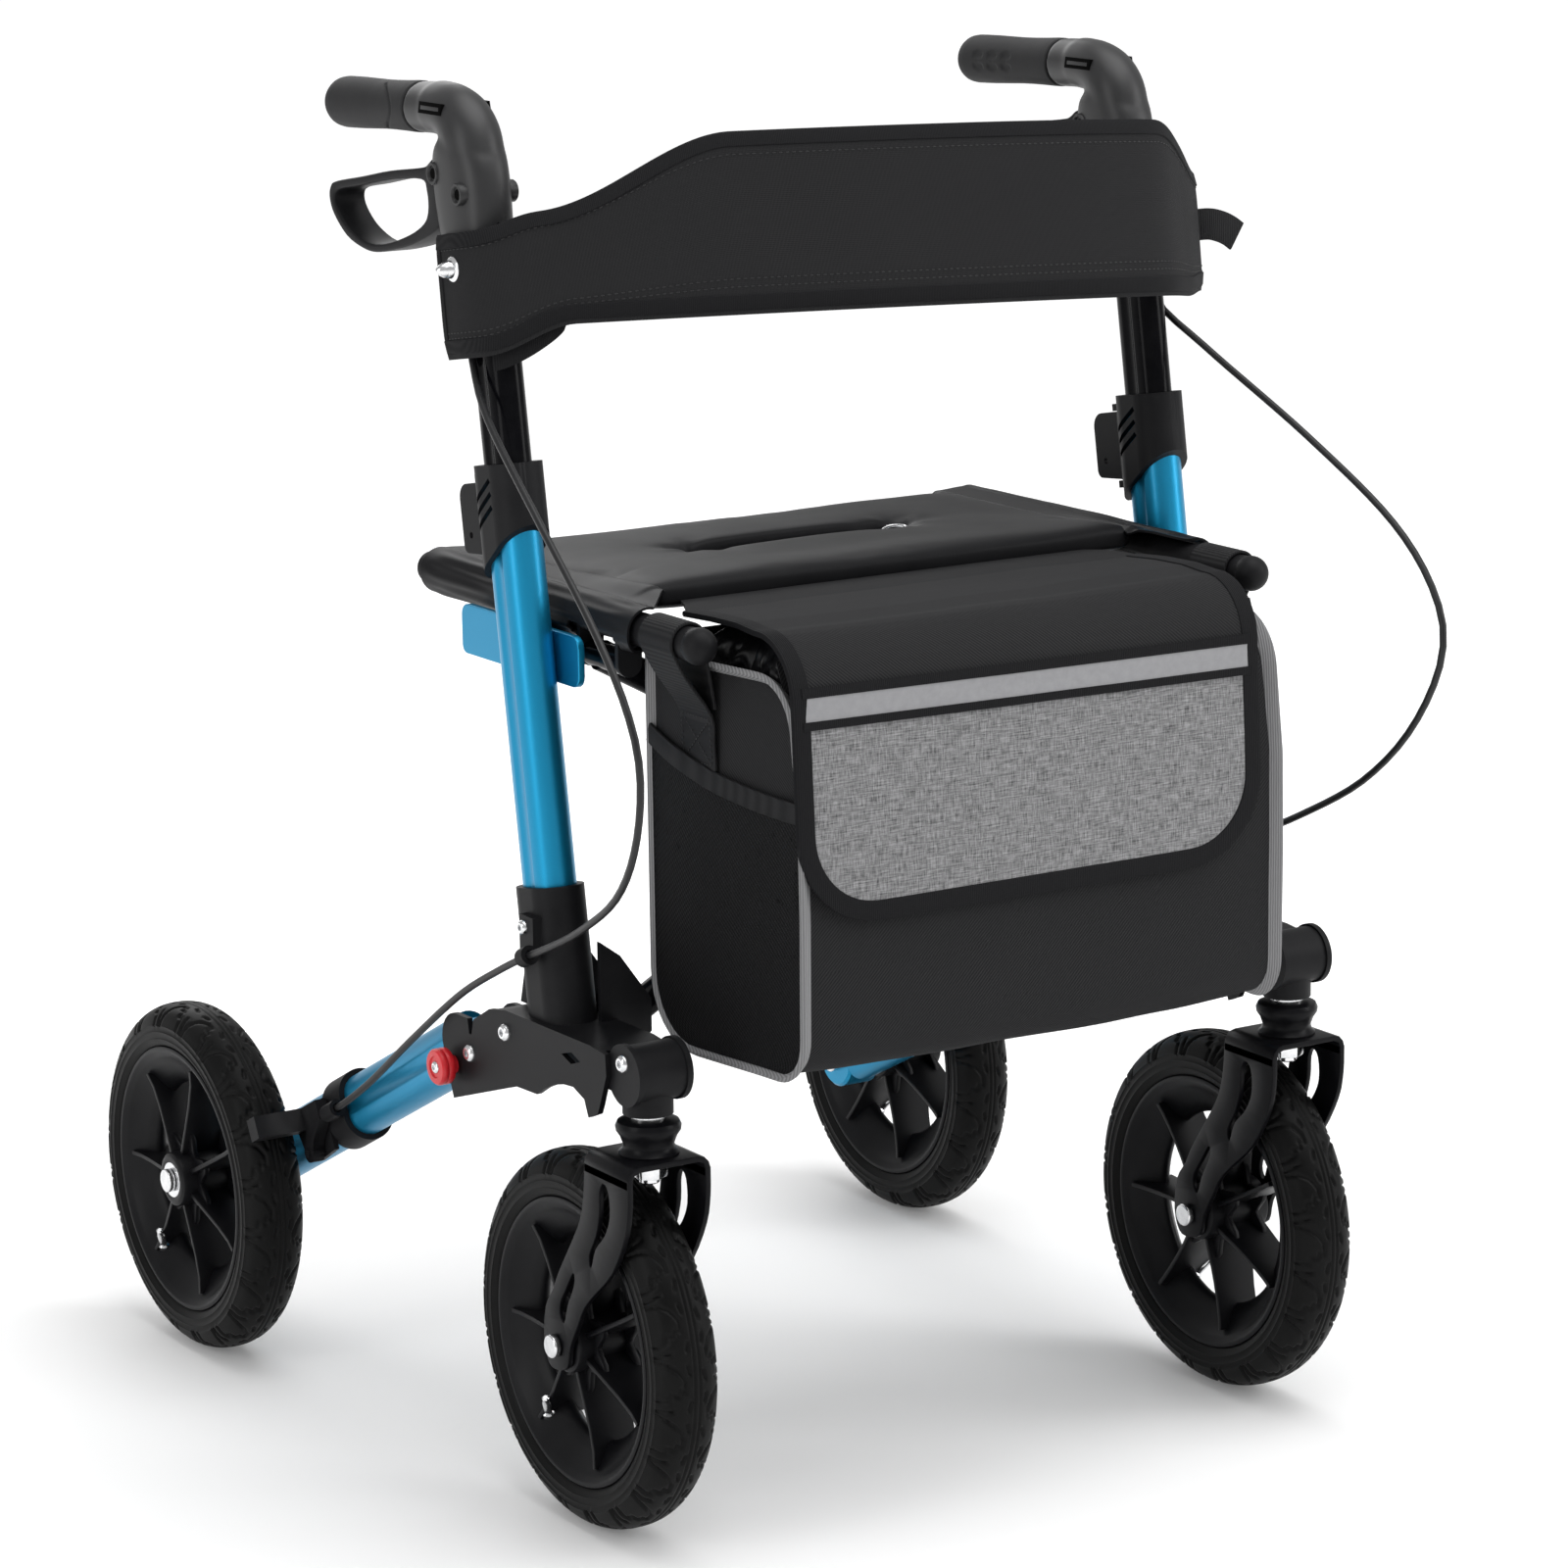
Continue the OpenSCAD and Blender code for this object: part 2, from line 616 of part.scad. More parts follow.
// Seat rail: tube with ball knob, hanger lugs and the pin of the upper brace barrel
module seat_rail() {
    lug_half = 9;
    color([0.08, 0.08, 0.09]) difference() {
        union() {
            bar_y(rail_r, rail_front, rail_back, brace_x, rail_z);
            translate([brace_x, rail_front - 2, rail_z]) sphere(r = 12);
            for (y = [lug_front, lug_back]) along(y, y + lug_t) union() {
                translate([brace_x, brace_top_z]) circle(r = lug_half);
                translate([brace_x - lug_half, brace_top_z]) square([2 * lug_half, rail_z - brace_top_z]);
            }
        }
        bar_y(rail_r - 2, rail_front + 20, rail_back - 6, brace_x, rail_z);
    }
    steel() bar_y(pin_r, lug_front + lug_t, lug_back, brace_x, brace_top_z);
}

// Fabric sleeve of the seat round its rail, open below where the hanger lugs pass
module seat_sleeve() {
    fabric() difference() {
        bar_y(sleeve_r, sleeve_front, sleeve_back, brace_x, rail_z);
        bar_y(rail_r, sleeve_front - 5, sleeve_back + 5, brace_x, rail_z);
        translate([brace_x - 20, barrel_mid_y - barrel_len / 2 - 7, rail_z - 30])
            cube([40, barrel_len + 14, 27]);
    }
}

// One diagonal of the cross brace from its lower left pivot; stud is the centre pin it carries
module brace(y, stud) {
    ends = [[-brace_x, brace_low_z], [brace_x, brace_top_z]];
    half = brace_d / 2;
    head_y0 = barrel_mid_y + brace_offset + half + 0.6;
    color([0.07, 0.07, 0.08]) difference() {
        union() {
            translate([-brace_x, y, brace_low_z]) rotate([0, 90 - brace_angle, 0]) difference() {
                cylinder(d = brace_d, h = brace_len);
                cylinder(d = brace_d - 3, h = brace_len);
            }
            for (p = ends) bar_y(barrel_r, barrel_mid_y - barrel_len / 2, barrel_mid_y + barrel_len / 2,
                p[0], p[1]);
            bar_y(boss_r, y - half, y + half, 0, brace_mid_z);
        }
        for (p = ends) bar_y(pin_r + running_gap, -300, -100, p[0], p[1]);
        if (!stud) bar_y(pin_r + running_gap, -300, -100, 0, brace_mid_z);
    }
    if (stud) steel() {
        bar_y(pin_r, y + half, head_y0 + 1, 0, brace_mid_z);
        bar_y(boss_r, head_y0, head_y0 + 4.4, 0, brace_mid_z);
    }
}
module cross_brace_a() { brace(barrel_mid_y - brace_offset, true); }
module cross_brace_b() { mirror([1, 0, 0]) brace(barrel_mid_y + brace_offset, false); }

// Sling seat cushion: crowned, drawn in at its edges, sunk round the hand slot
function seat_top(u, v) =
    let (edge = (1 - pow(abs(u), 6)) * (1 - pow(abs(v), 6)),
        sink = exp(-pow(u * 2.2, 4) - pow((v - 0.22) * 5, 2)))
    rail_z + sleeve_r - 14 + (seat_edge_t - 2) * edge + seat_crown * (1 - u * u) * (1 - v * v)
    - 4 * sink * edge;
module seat_pad() {
    half_w = brace_x - sleeve_r - 1.5;
    half_d = (seat_back - seat_front) / 2;
    mid_y = (seat_front + seat_back) / 2;
    base = rail_z - 6;
    nx = 24;
    ny = 14;
    layer = (nx + 1) * (ny + 1);
    function at(f, p) = f * layer + p[1] * (nx + 1) + p[0];
    pts = [for (f = [0, 1]) for (j = [0 : ny]) for (i = [0 : nx])
        let (u = 2 * i / nx - 1, v = 1 - 2 * j / ny)
        [half_w * u, mid_y - half_d * v, f == 1 ? seat_top(u, v) : base]];
    cells = [for (j = [0 : ny - 1]) for (i = [0 : nx - 1]) [[i, j], [i, j + 1], [i + 1, j + 1], [i + 1, j]]];
    top = [for (c = cells) [for (k = [0 : 3]) at(1, c[k])]];
    bottom = [for (c = cells) [for (k = [3 : -1 : 0]) at(0, c[k])]];
    rim_ring = concat([for (i = [0 : nx - 1]) [i, 0]], [for (j = [0 : ny - 1]) [nx, j]],
        [for (i = [nx : -1 : 1]) [i, ny]], [for (j = [ny : -1 : 1]) [0, j]]);
    m = len(rim_ring);
    sides = [for (k = [0 : m - 1]) let (a = rim_ring[k], b = rim_ring[(k + 1) % m])
        [at(0, b), at(0, a), at(1, a), at(1, b)]];
    fabric() difference() {
        polyhedron(pts, concat(top, bottom, sides));
        translate([0, hand_slot_y, base - 10]) rotate([0, 0, 90]) linear_extrude(60)
            oval(hand_slot[1], hand_slot[0]);
    }
}

// Side view of the bag, drawn in by the wall for its inside, which is open at the top
module bag_profile(inset) {
    mouth = bag_top + inset * 4;
    shoulder = [bag_front + 13, 552];
    rim = [bag_front + 32, bag_top];
    lean = (rim[0] - shoulder[0]) / (rim[1] - shoulder[1]);
    polygon(concat([[bag_rear - inset, mouth]], arc([bag_rear - 30, bag_bottom + 34], 30 - inset, 0, -90, 6),
        arc([bag_front + 40, bag_bottom + 36], 36 - inset, -90, -180, 6),
        [[bag_front + 4 + inset, 470], shoulder + [inset, 0],
        [rim[0] + inset + lean * (mouth - bag_top), mouth]]));
}
// Webbing strap that hangs one side of the bag from the bare end of a rail
module bag_strap() {
    loop_r = rail_r + strap_gap;
    side = bag_half_w;
    along(strap_front, strap_back) union() {
        translate([brace_x, rail_z]) difference() {
            circle(r = loop_r + strap_t);
            circle(r = loop_r);
        }
        polygon([[side - 0.5, 500], [side + strap_t, 500], [side + strap_t, 550], [brace_x - 12.5, 590],
            [brace_x - loop_r - 1, 598], [brace_x - loop_r - strap_t, 598], [side - 0.5, 555]]);
    }
}
module bag_body() {
    inner = bag_half_w - bag_wall;
    fabric() union() {
        difference() {
            across(-bag_half_w, bag_half_w) bag_profile(0);
            across(-inner, inner) bag_profile(bag_wall);
        }
        for (s = [-1, 1]) on_side(s) bag_strap();
    }
}

// Bag flap: lies over the top and down the front
module bag_flap() {
    t = bag_wall;
    fold_r = 38;
    fold_at = [bag_front + 40, flap_hinge[1] - 3 - fold_r];
    lip_z = 422;
    color([0.45, 0.45, 0.46]) across(-flap_half_w, flap_half_w) polygon(concat(
        [flap_hinge - [0, 3], flap_hinge + [0, t - 3]], arc(fold_at, fold_r + t, 90, 172, 8),
        [[bag_front - 1 - t, lip_z], [bag_front - 1, lip_z]], arc(fold_at, fold_r, 172, 90, 8)));
}

// Back band in the leaning frame of the posts: tight round the left post, slack in front of the right one
band_route = [[-279, 22], [-279, -6], [-271, -26], [-240, -46], [-190, -72], [-131, -98], [-60, -120], [20, -134],
    [90, -139], [150, -136], [192, -125], [230, -94], [262, -62], [277, -44], [281, -20], [279, 22]];
band_last = len(band_route) - 1;
band_steps = 4;
// The band hangs lower towards the right
band_droop = 0.045;
function band_at(t) = let (i = min(floor(t), band_last - 1)) bend(band_route[max(i - 1, 0)], band_route[i],
    band_route[i + 1], band_route[min(i + 2, band_last)], t - i);
// Direction from the band's face to its back
function band_in(t) = let (d = band_at(min(t + 0.1, band_last)) - band_at(max(t - 0.1, 0))) [-d[1], d[0]] / norm(d);
function band_low(x) = 783 - band_droop * x
    - (x < 0 ? 18 * ease((-x - 225) / 54) : -5 * ease((x - 225) / 54));
function band_high(x) = 896 - band_droop * x
    - (x < 0 ? 45 * ease((-x - 125) / 120) + 10 * ease((-x - 240) / 39) : 32 * ease((x - 188) / 91));
function reversed(list) = [for (i = [len(list) - 1 : -1 : 0]) list[i]];
module backrest_band() {
    ts = [for (i = [0 : band_last * band_steps]) i / band_steps];
    face = [for (t = ts) band_at(t)];
    back = [for (t = ts) band_at(t) + band_t * band_in(t)];
    xs = [for (i = [-15 : 15]) 20 * i];
    fabric() translate([0, post_foot_y, 0]) rotate([-post_tilt, 0, 0]) intersection() {
        post_run(760, 920) polygon(concat(face, reversed(back)));
        along(-160, 40) polygon(concat([for (x = xs) [x, band_low(x)]],
            [for (x = reversed(xs)) [x, band_high(x)]]));
    }
}

for (s = [-1, 1]) {
    on_side(s) upright_tube();
    on_side(s) height_collar();
    on_side(s) clamp_lever();
    on_side(s) hinge_bracket();
    on_side(s) seat_saddle();
    on_side(s) caster_head();
    on_side(s) frame_screws();
    on_side(s) release_button();
    on_side(s) handle_post();
    on_side(s) handle_housing();
    on_side(s) hand_grip();
    on_side(s) brake_lever();
    on_side(s) rear_leg();
    on_side(s) brake_mount();
    on_side(s) brake_shoe();
    on_side(s) rear_axle();
    on_side(s) at_rear_wheel() tyre();
    on_side(s) at_rear_wheel() rim();
    on_side(s) at_rear_wheel() bearings();
    on_side(s) caster_fork();
    on_side(s) front_axle();
    on_side(s) at_front_wheel() tyre();
    on_side(s) at_front_wheel() rim();
    on_side(s) at_front_wheel() bearings();
    on_side(s) brake_cable();
    on_side(s) seat_rail();
    on_side(s) seat_sleeve();
}
cross_brace_a();
cross_brace_b();
seat_pad();
bag_body();
bag_flap();
backrest_band();
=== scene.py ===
# %% [markdown]
# # An all terrain rollator
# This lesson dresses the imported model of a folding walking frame: blue oval tubes, black castings, air
# tyres, a sling seat, a bag with a flap and a padded back band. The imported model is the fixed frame. Every
# piece below is drawn in millimetres in that frame, so nothing has to be fitted by eye.

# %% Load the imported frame
import json
import math
import bmesh
import bpy
from mathutils import Matrix, Vector, noise


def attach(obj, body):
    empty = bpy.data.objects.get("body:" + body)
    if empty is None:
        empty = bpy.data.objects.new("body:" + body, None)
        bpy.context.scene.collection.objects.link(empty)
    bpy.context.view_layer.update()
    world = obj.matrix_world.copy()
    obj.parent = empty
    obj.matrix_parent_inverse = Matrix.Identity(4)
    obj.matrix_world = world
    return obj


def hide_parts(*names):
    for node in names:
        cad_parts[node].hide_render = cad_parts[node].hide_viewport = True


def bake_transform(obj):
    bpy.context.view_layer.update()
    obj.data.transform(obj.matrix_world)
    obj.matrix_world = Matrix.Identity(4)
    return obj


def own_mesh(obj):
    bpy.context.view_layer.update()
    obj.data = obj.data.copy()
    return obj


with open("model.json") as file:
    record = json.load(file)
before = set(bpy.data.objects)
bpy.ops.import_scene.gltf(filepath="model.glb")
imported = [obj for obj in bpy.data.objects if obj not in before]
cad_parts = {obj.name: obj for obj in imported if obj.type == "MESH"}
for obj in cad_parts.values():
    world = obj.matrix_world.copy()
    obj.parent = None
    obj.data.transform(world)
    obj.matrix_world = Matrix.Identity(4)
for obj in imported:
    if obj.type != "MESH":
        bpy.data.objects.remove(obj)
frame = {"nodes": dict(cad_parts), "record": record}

scene = bpy.context.scene
MM = 0.001
SIDES = {"left": -1, "right": 1}
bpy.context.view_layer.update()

# %% [markdown]
# ## Camera
# The camera stands where the photograph was taken: a long lens, a little above the handles, to the front
# left. A matrix is written from its three axes, because a slight roll is easier to read that way than in
# angles. The picture is square, so the sensor width holds for both directions.

# %% Camera
camera_data = bpy.data.cameras.new("camera")
camera_data.sensor_fit = "HORIZONTAL"
camera_data.sensor_width = 36.0
camera_data.lens = 123.28
camera_data.clip_end = 300.0
camera = bpy.data.objects.new("camera", camera_data)
scene.collection.objects.link(camera)
CAMERA_AT = (-1.9339, -3.1442, 1.2436)


def axes_at(at, x_axis, y_axis, z_axis):
    """A frame at a place, written from its three axes."""
    return Matrix.Translation(at) @ Matrix((x_axis, y_axis, z_axis)).transposed().to_4x4()


azimuth, elevation, roll = (math.radians(a) for a in (-32.04, 12.50, -0.78))
level = math.cos(elevation)
eye_back = Vector((math.sin(azimuth) * level, -math.cos(azimuth) * level, math.sin(elevation)))
eye_right = Vector((math.cos(azimuth), math.sin(azimuth), 0.0))
eye_up = eye_back.cross(eye_right)
rolled_right = eye_right * math.cos(roll) + eye_up * math.sin(roll)
rolled_up = eye_up * math.cos(roll) - eye_right * math.sin(roll)
camera.matrix_world = axes_at(CAMERA_AT, rolled_right, rolled_up, eye_back)
scene.camera = camera
scene.view_settings.view_transform = "Standard"
print("camera", camera_data.lens, "mm lens")

# %% [markdown]
# ## Finishes
# A finish is a material made of nodes. Most of them share the same three ideas: a base colour that drifts a
# little, a roughness that drifts with it, and a fine bump for the grain. One helper starts a finish, a second
# adds a node and a third joins two nodes, so that each finish below reads as a short recipe.

# %% Helpers for finishes
def shader_of(finish):
    """The finish's own shader node."""
    return finish.node_tree.nodes["Principled BSDF"]


def start_finish(name, colour, roughness, **values):
    """A new finish; what is the same all over is set on the shader's own sockets."""
    finish = bpy.data.materials.new(name)
    finish.use_nodes = True
    shader = shader_of(finish)
    shader.inputs["Base Color"].default_value = (*colour, 1.0)
    shader.inputs["Roughness"].default_value = roughness
    for socket, value in values.items():
        shader.inputs[socket.replace("_", " ")].default_value = value
    return finish


def add_node(finish, kind, settings=None, **inputs):
    """One more node, with its settings and the values of its sockets."""
    made = finish.node_tree.nodes.new("ShaderNode" + kind)
    for key, value in (settings or {}).items():
        setattr(made, key, value)
    for key, value in inputs.items():
        made.inputs[key.replace("_", " ")].default_value = value
    return made


def join(finish, giver, output, taker, socket):
    """Links one node's output to another node's input."""
    finish.node_tree.links.new(giver.outputs[output], taker.inputs[socket])


def coordinates(finish, source="Object", scale=(1, 1, 1), turn=0.0):
    """Object or UV coordinates through a Mapping node."""
    place = add_node(finish, "TexCoord")
    mapping = add_node(finish, "Mapping", Scale=scale, Rotation=(0, 0, turn))
    join(finish, place, source, mapping, "Vector")
    return mapping


def colour_by(finish, giver, output, dark, light, low=0.0, high=1.0):
    """Colours a finish from dark to light by what a texture gives."""
    ramp = add_node(finish, "ValToRGB")
    for stop, at, colour in zip(ramp.color_ramp.elements, (low, high), (dark, light)):
        stop.position = at
        stop.color = (*colour, 1.0)
    join(finish, giver, output, ramp, "Fac")
    join(finish, ramp, "Color", shader_of(finish), "Base Color")


print("node helpers ready")

# %% [markdown]
# Nothing real has one even colour. Noise lets colour and roughness drift, and a second, finer noise is the
# grain of a casting or a moulding. A bump gives the grain its light and shade without more faces.

# %% Drift, bump and grain
def add_drift(finish, dark, light, scale, rough=None, source="Object", stretch=(1, 1, 1)):
    """Lets the colour, and if asked the roughness, drift between two values."""
    cloud = add_node(finish, "TexNoise", Scale=scale, Detail=4.0, Roughness=0.6)
    join(finish, coordinates(finish, source, stretch), "Vector", cloud, "Vector")
    colour_by(finish, cloud, "Fac", dark, light, 0.3, 0.7)
    if rough:
        span = add_node(finish, "MapRange", To_Min=rough[0], To_Max=rough[1])
        join(finish, cloud, "Fac", span, "Value")
        join(finish, span, "Result", shader_of(finish), "Roughness")


def add_bump(finish, texture, output, strength, depth_mm):
    """Bumps the surface by a texture; a second bump rides on the first."""
    bump = add_node(finish, "Bump", Strength=strength, Distance=depth_mm * MM)
    join(finish, texture, output, bump, "Height")
    normal = shader_of(finish).inputs["Normal"]
    if normal.is_linked:
        join(finish, normal.links[0].from_node, "Normal", bump, "Normal")
    join(finish, bump, "Normal", shader_of(finish), "Normal")


def add_grain(finish, scale, strength, depth_mm, source="Object", stretch=(1, 1, 1)):
    """Fine moulded or cast grain."""
    grain = add_node(finish, "TexNoise", Scale=scale, Detail=3.0)
    join(finish, coordinates(finish, source, stretch), "Vector", grain, "Vector")
    add_bump(finish, grain, "Fac", strength, depth_mm)


print("finish helpers ready")

# %% [markdown]
# ## Paint, plastic, rubber and steel
# The tubes have a blue metal-flake paint under clear lacquer: a little metallic, with a coat and a flake from
# a very fine noise. The posts are gloss black, the castings are powder coated, and the mouldings are matte
# with a spark-eroded grain. Rubber is the roughest and carries a trace of dust in its colour.

# %% Hard finishes
def grey(level):
    """A black or grey with a trace of blue, as dyed plastic and paint have."""
    return level, level, level + 0.001


def hard_finish(name, colour, roughness, drift, grain=None, slot=None, **values):
    """A finish; the slot is not used; drift is dark, light, scale and the span of roughness."""
    finish = start_finish(name, colour, roughness, **values)
    dark, light, scale, rough = drift
    add_drift(finish, dark, light, scale, rough)
    if grain:
        add_grain(finish, *grain)
    return finish


blue = hard_finish("frame_blue", (0.006, 0.25, 0.45), 0.4,
                   ((0.005, 0.24, 0.43), (0.009, 0.28, 0.51), 2600.0, (0.34, 0.44)), (900.0, 0.05, 0.05),
                   Metallic=0.8, Coat_Weight=0.15, Coat_Roughness=0.14)
post = hard_finish("post_black", grey(0.003), 0.18, (grey(0.002), grey(0.005), 90.0, (0.12, 0.2)),
                   Specular_IOR_Level=0.06)
fork = hard_finish("fork_black", grey(0.004), 0.34, (grey(0.003), grey(0.006), 60.0, (0.28, 0.4)),
                   (700.0, 0.12, 0.1), Specular_IOR_Level=0.1)
bracket = hard_finish("bracket_black", grey(0.007), 0.46, (grey(0.005), grey(0.009), 45.0, (0.4, 0.54)),
                      (1100.0, 0.2, 0.12), Specular_IOR_Level=0.13)
plastic = hard_finish("plastic_black", grey(0.009), 0.5, (grey(0.007), grey(0.011), 38.0, (0.44, 0.58)),
                      (1600.0, 0.22, 0.1), Specular_IOR_Level=0.13)
elbow_plastic = hard_finish("elbow_plastic", grey(0.02), 0.42, (grey(0.018), grey(0.023), 38.0, (0.38, 0.48)),
                            (1600.0, 0.15, 0.08), "plastic_black", Specular_IOR_Level=0.4)
rim_plastic = hard_finish("rim_plastic", grey(0.004), 0.4, (grey(0.003), grey(0.006), 40.0, (0.34, 0.48)),
                          (1300.0, 0.12, 0.08), Specular_IOR_Level=0.16)
red = hard_finish("red_plastic", (0.62, 0.012, 0.02), 0.34,
                  ((0.56, 0.01, 0.016), (0.68, 0.016, 0.026), 120.0, (0.28, 0.4)))
grip_rubber = hard_finish("grip_rubber", grey(0.019), 0.66, (grey(0.016), grey(0.023), 55.0, (0.6, 0.74)),
                          (2200.0, 0.3, 0.12), Specular_IOR_Level=0.24)
tyre_rubber = hard_finish("tyre_rubber", (0.004, 0.004, 0.004), 0.44,
                          ((0.003, 0.003, 0.003), (0.006, 0.006, 0.006), 28.0, (0.38, 0.52)),
                          (1500.0, 0.25, 0.12), Specular_IOR_Level=0.1)
jacket = hard_finish("cable_jacket", grey(0.01), 0.4, (grey(0.008), grey(0.013), 70.0, (0.33, 0.47)),
                     Specular_IOR_Level=0.35)
steel = hard_finish("bright_steel", (0.74, 0.75, 0.76), 0.2,
                    ((0.66, 0.67, 0.68), (0.8, 0.8, 0.81), 220.0, (0.13, 0.28)), Metallic=1.0)
# Painted shade: a near-black matte finish for plates that stand in for the shade inside recesses.
recess_shade_black = start_finish("recess_shade_black", (0.002, 0.002, 0.002), 0.9, Specular_IOR_Level=0.05)

# %% [markdown]
# ## Cloth finishes
# Cloth is told by its weave. The sheets below carry a UV map in metres, so a thread count is a true size.
# The bag is a black twill, its pockets are net, the flap has a grey heather panel and a reflective tape, the
# seat is coated cloth with a leather grain, and the back band is a foam-backed knit.

# %% Cloth finishes
def cloth_finish(name, slot, colour, roughness, **values):
    """A cloth finish; the slot is not used."""
    finish = start_finish(name, colour, roughness, **values)
    return finish


def add_weave(finish, period_mm, turn, strength, depth_mm, source="UV"):
    """Ribs of thread in one direction, as a bump."""
    ribs = add_node(finish, "TexWave", {"wave_type": "BANDS", "bands_direction": "X"}, Distortion=0.6,
                    Scale=math.pi / (10.0 * period_mm * MM), Detail_Scale=2.0)
    join(finish, coordinates(finish, source, turn=turn), "Vector", ribs, "Vector")
    add_bump(finish, ribs, "Fac", strength, depth_mm)
    return ribs


def woven_finish(name, slot, colour, roughness, weave, dark, light, **values):
    """A cloth finish whose ribs of thread carry painted shade in the valleys and a painted highlight on top.
    """
    finish = cloth_finish(name, slot, colour, roughness, **values)
    # Painted shade in the weave's valleys and a painted highlight on its ribs, following the bump.
    colour_by(finish, add_weave(finish, *weave), "Fac", dark, light)
    return finish


QUARTER = math.pi / 4
twill = woven_finish("bag_twill", "bag_cloth", grey(0.018), 0.78, (1.9, QUARTER, 0.5, 0.3),
                     grey(0.012), grey(0.029), Specular_IOR_Level=0.1)
net = woven_finish("pocket_net", "bag_cloth", grey(0.006), 0.7, (2.4, QUARTER, 0.6, 0.5),
                   (0.001, 0.001, 0.001), grey(0.012), Specular_IOR_Level=0.12)
add_weave(net, 2.4, -QUARTER, 0.6, 0.5)
lining = cloth_finish("bag_lining", "bag_cloth", grey(0.004), 0.3)
add_drift(lining, grey(0.003), grey(0.006), 70.0, (0.24, 0.38))
webbing = woven_finish("strap_webbing", "bag_cloth", grey(0.013), 0.7, (1.6, 0.0, 0.6, 0.4, "Object"),
                       grey(0.01), grey(0.018), Specular_IOR_Level=0.15)
piping = woven_finish("grey_piping", "bag_cloth", (0.22, 0.22, 0.225), 0.8, (1.5, 0.3, 0.6, 0.3, "Object"),
                      (0.16, 0.16, 0.165), (0.29, 0.29, 0.295), Specular_IOR_Level=0.2)
binding = woven_finish("flap_binding", "flap_cloth", grey(0.009), 0.78, (1.4, 0.0, 0.6, 0.3, "Object"),
                       grey(0.006), grey(0.013), Specular_IOR_Level=0.12)
tape = cloth_finish("reflective_tape", "flap_cloth", (0.29, 0.29, 0.3), 0.46, Specular_IOR_Level=0.3)
add_drift(tape, (0.27, 0.27, 0.28), (0.31, 0.31, 0.32), 160.0, (0.4, 0.54), "UV")
add_grain(tape, 2500.0, 0.2, 0.08, "UV")
print("woven finishes made")

# %% [markdown]
# The heather panel needs two sets of threads, one along and one across, each streaked light and dark. Two
# stretched noises give the streaks, and their mean is the mixed yarn.

# %% Heather, coated cloth and knit
heather = cloth_finish("heather_panel", "flap_cloth", (0.2, 0.2, 0.2), 0.85, Specular_IOR_Level=0.2)
streaks = []
for stretch in ((70.0, 1100.0, 1.0), (1100.0, 110.0, 1.0)):
    streak = add_node(heather, "TexNoise", Scale=1.0, Detail=3.0, Roughness=0.7)
    join(heather, coordinates(heather, "UV", stretch), "Vector", streak, "Vector")
    streaks.append(streak)
both = add_node(heather, "Mix", {"data_type": "FLOAT"}, Factor=0.5)
join(heather, streaks[0], "Fac", both, 2)
join(heather, streaks[1], "Fac", both, 3)
colour_by(heather, both, 0, (0.05, 0.05, 0.052), (0.38, 0.38, 0.385), 0.36, 0.64)
add_bump(heather, both, 0, 0.5, 0.4)
vinyl = cloth_finish("seat_vinyl", "seat_cloth", grey(0.008), 0.48, Specular_IOR_Level=0.08)
add_drift(vinyl, grey(0.007), grey(0.01), 18.0, (0.4, 0.52))
pores = add_node(vinyl, "TexVoronoi", {"feature": "DISTANCE_TO_EDGE"}, Scale=800.0)
join(vinyl, coordinates(vinyl), "Vector", pores, "Vector")
add_bump(vinyl, pores, "Distance", 0.25, 0.15)
knit = woven_finish("band_knit", "band_cloth", grey(0.016), 0.85, (0.9, 0.0, 0.45, 0.2), grey(0.014),
                    grey(0.026),
                    Specular_IOR_Level=0.12)
add_weave(knit, 1.2, math.pi / 2, 0.45, 0.2)
edge_tape = woven_finish("band_edge_tape", "band_cloth", grey(0.011), 0.8, (1.1, 0.0, 0.5, 0.2, "Object"),
                         grey(0.008), grey(0.015), Specular_IOR_Level=0.12)
thread = cloth_finish("black_thread", "band_cloth", grey(0.01), 0.6)
add_drift(thread, grey(0.008), grey(0.014), 300.0)

# %% [markdown]
# ## Making a piece
# Every drawing is a bmesh in millimetres. One helper scales it to metres, gives it its finish, lets it ride
# on its body and says which node it stands for. Right-hand drawings are mirrored for the left side, and a
# mirrored mesh is inside out until its faces are turned round.

# %% Piece helpers
def piece(name, bm, finishes, body, nodes=(), sharp=40.0, closed=True):
    """Turns a drawing in millimetres into a finished object that rides on a body."""
    finishes = finishes if isinstance(finishes, list) else [finishes]
    if closed:
        bmesh.ops.recalc_face_normals(bm, faces=bm.faces)
    bmesh.ops.scale(bm, vec=(MM, MM, MM), verts=bm.verts)
    mesh = bpy.data.meshes.new(name)
    bm.to_mesh(mesh)
    bm.free()
    for finish in finishes:
        mesh.materials.append(finish)
    for face in mesh.polygons:
        face.use_smooth = True
    mesh.set_sharp_from_angle(angle=math.radians(sharp))
    made = bpy.data.objects.new(name, mesh)
    scene.collection.objects.link(made)
    if body:
        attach(made, body)
    if nodes:
        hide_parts(*nodes)
    return made


def handed(bm, hand):
    """Mirrors a right-hand drawing for the left side."""
    if hand < 0:
        bmesh.ops.scale(bm, vec=(-1, 1, 1), verts=bm.verts)
        bmesh.ops.reverse_faces(bm, faces=bm.faces)
    return bm


print("piece helpers ready")

# %% [markdown]
# Many shapes below follow a line that is known at a few places only. A smooth curve is laid through the
# places, and where even steps matter it is divided again.

# %% Line helpers
def between_points(a, b, c, d, steps):
    """The part of a smooth curve from b to c, with the points before and after it, without its end."""
    found = []
    for t in (i / steps for i in range(steps)):
        found.append(0.5 * (2 * b + (c - a) * t + (2 * a - 5 * b + 4 * c - d) * t * t
                            + (3 * b - a - 3 * c + d) * t ** 3))
    return found


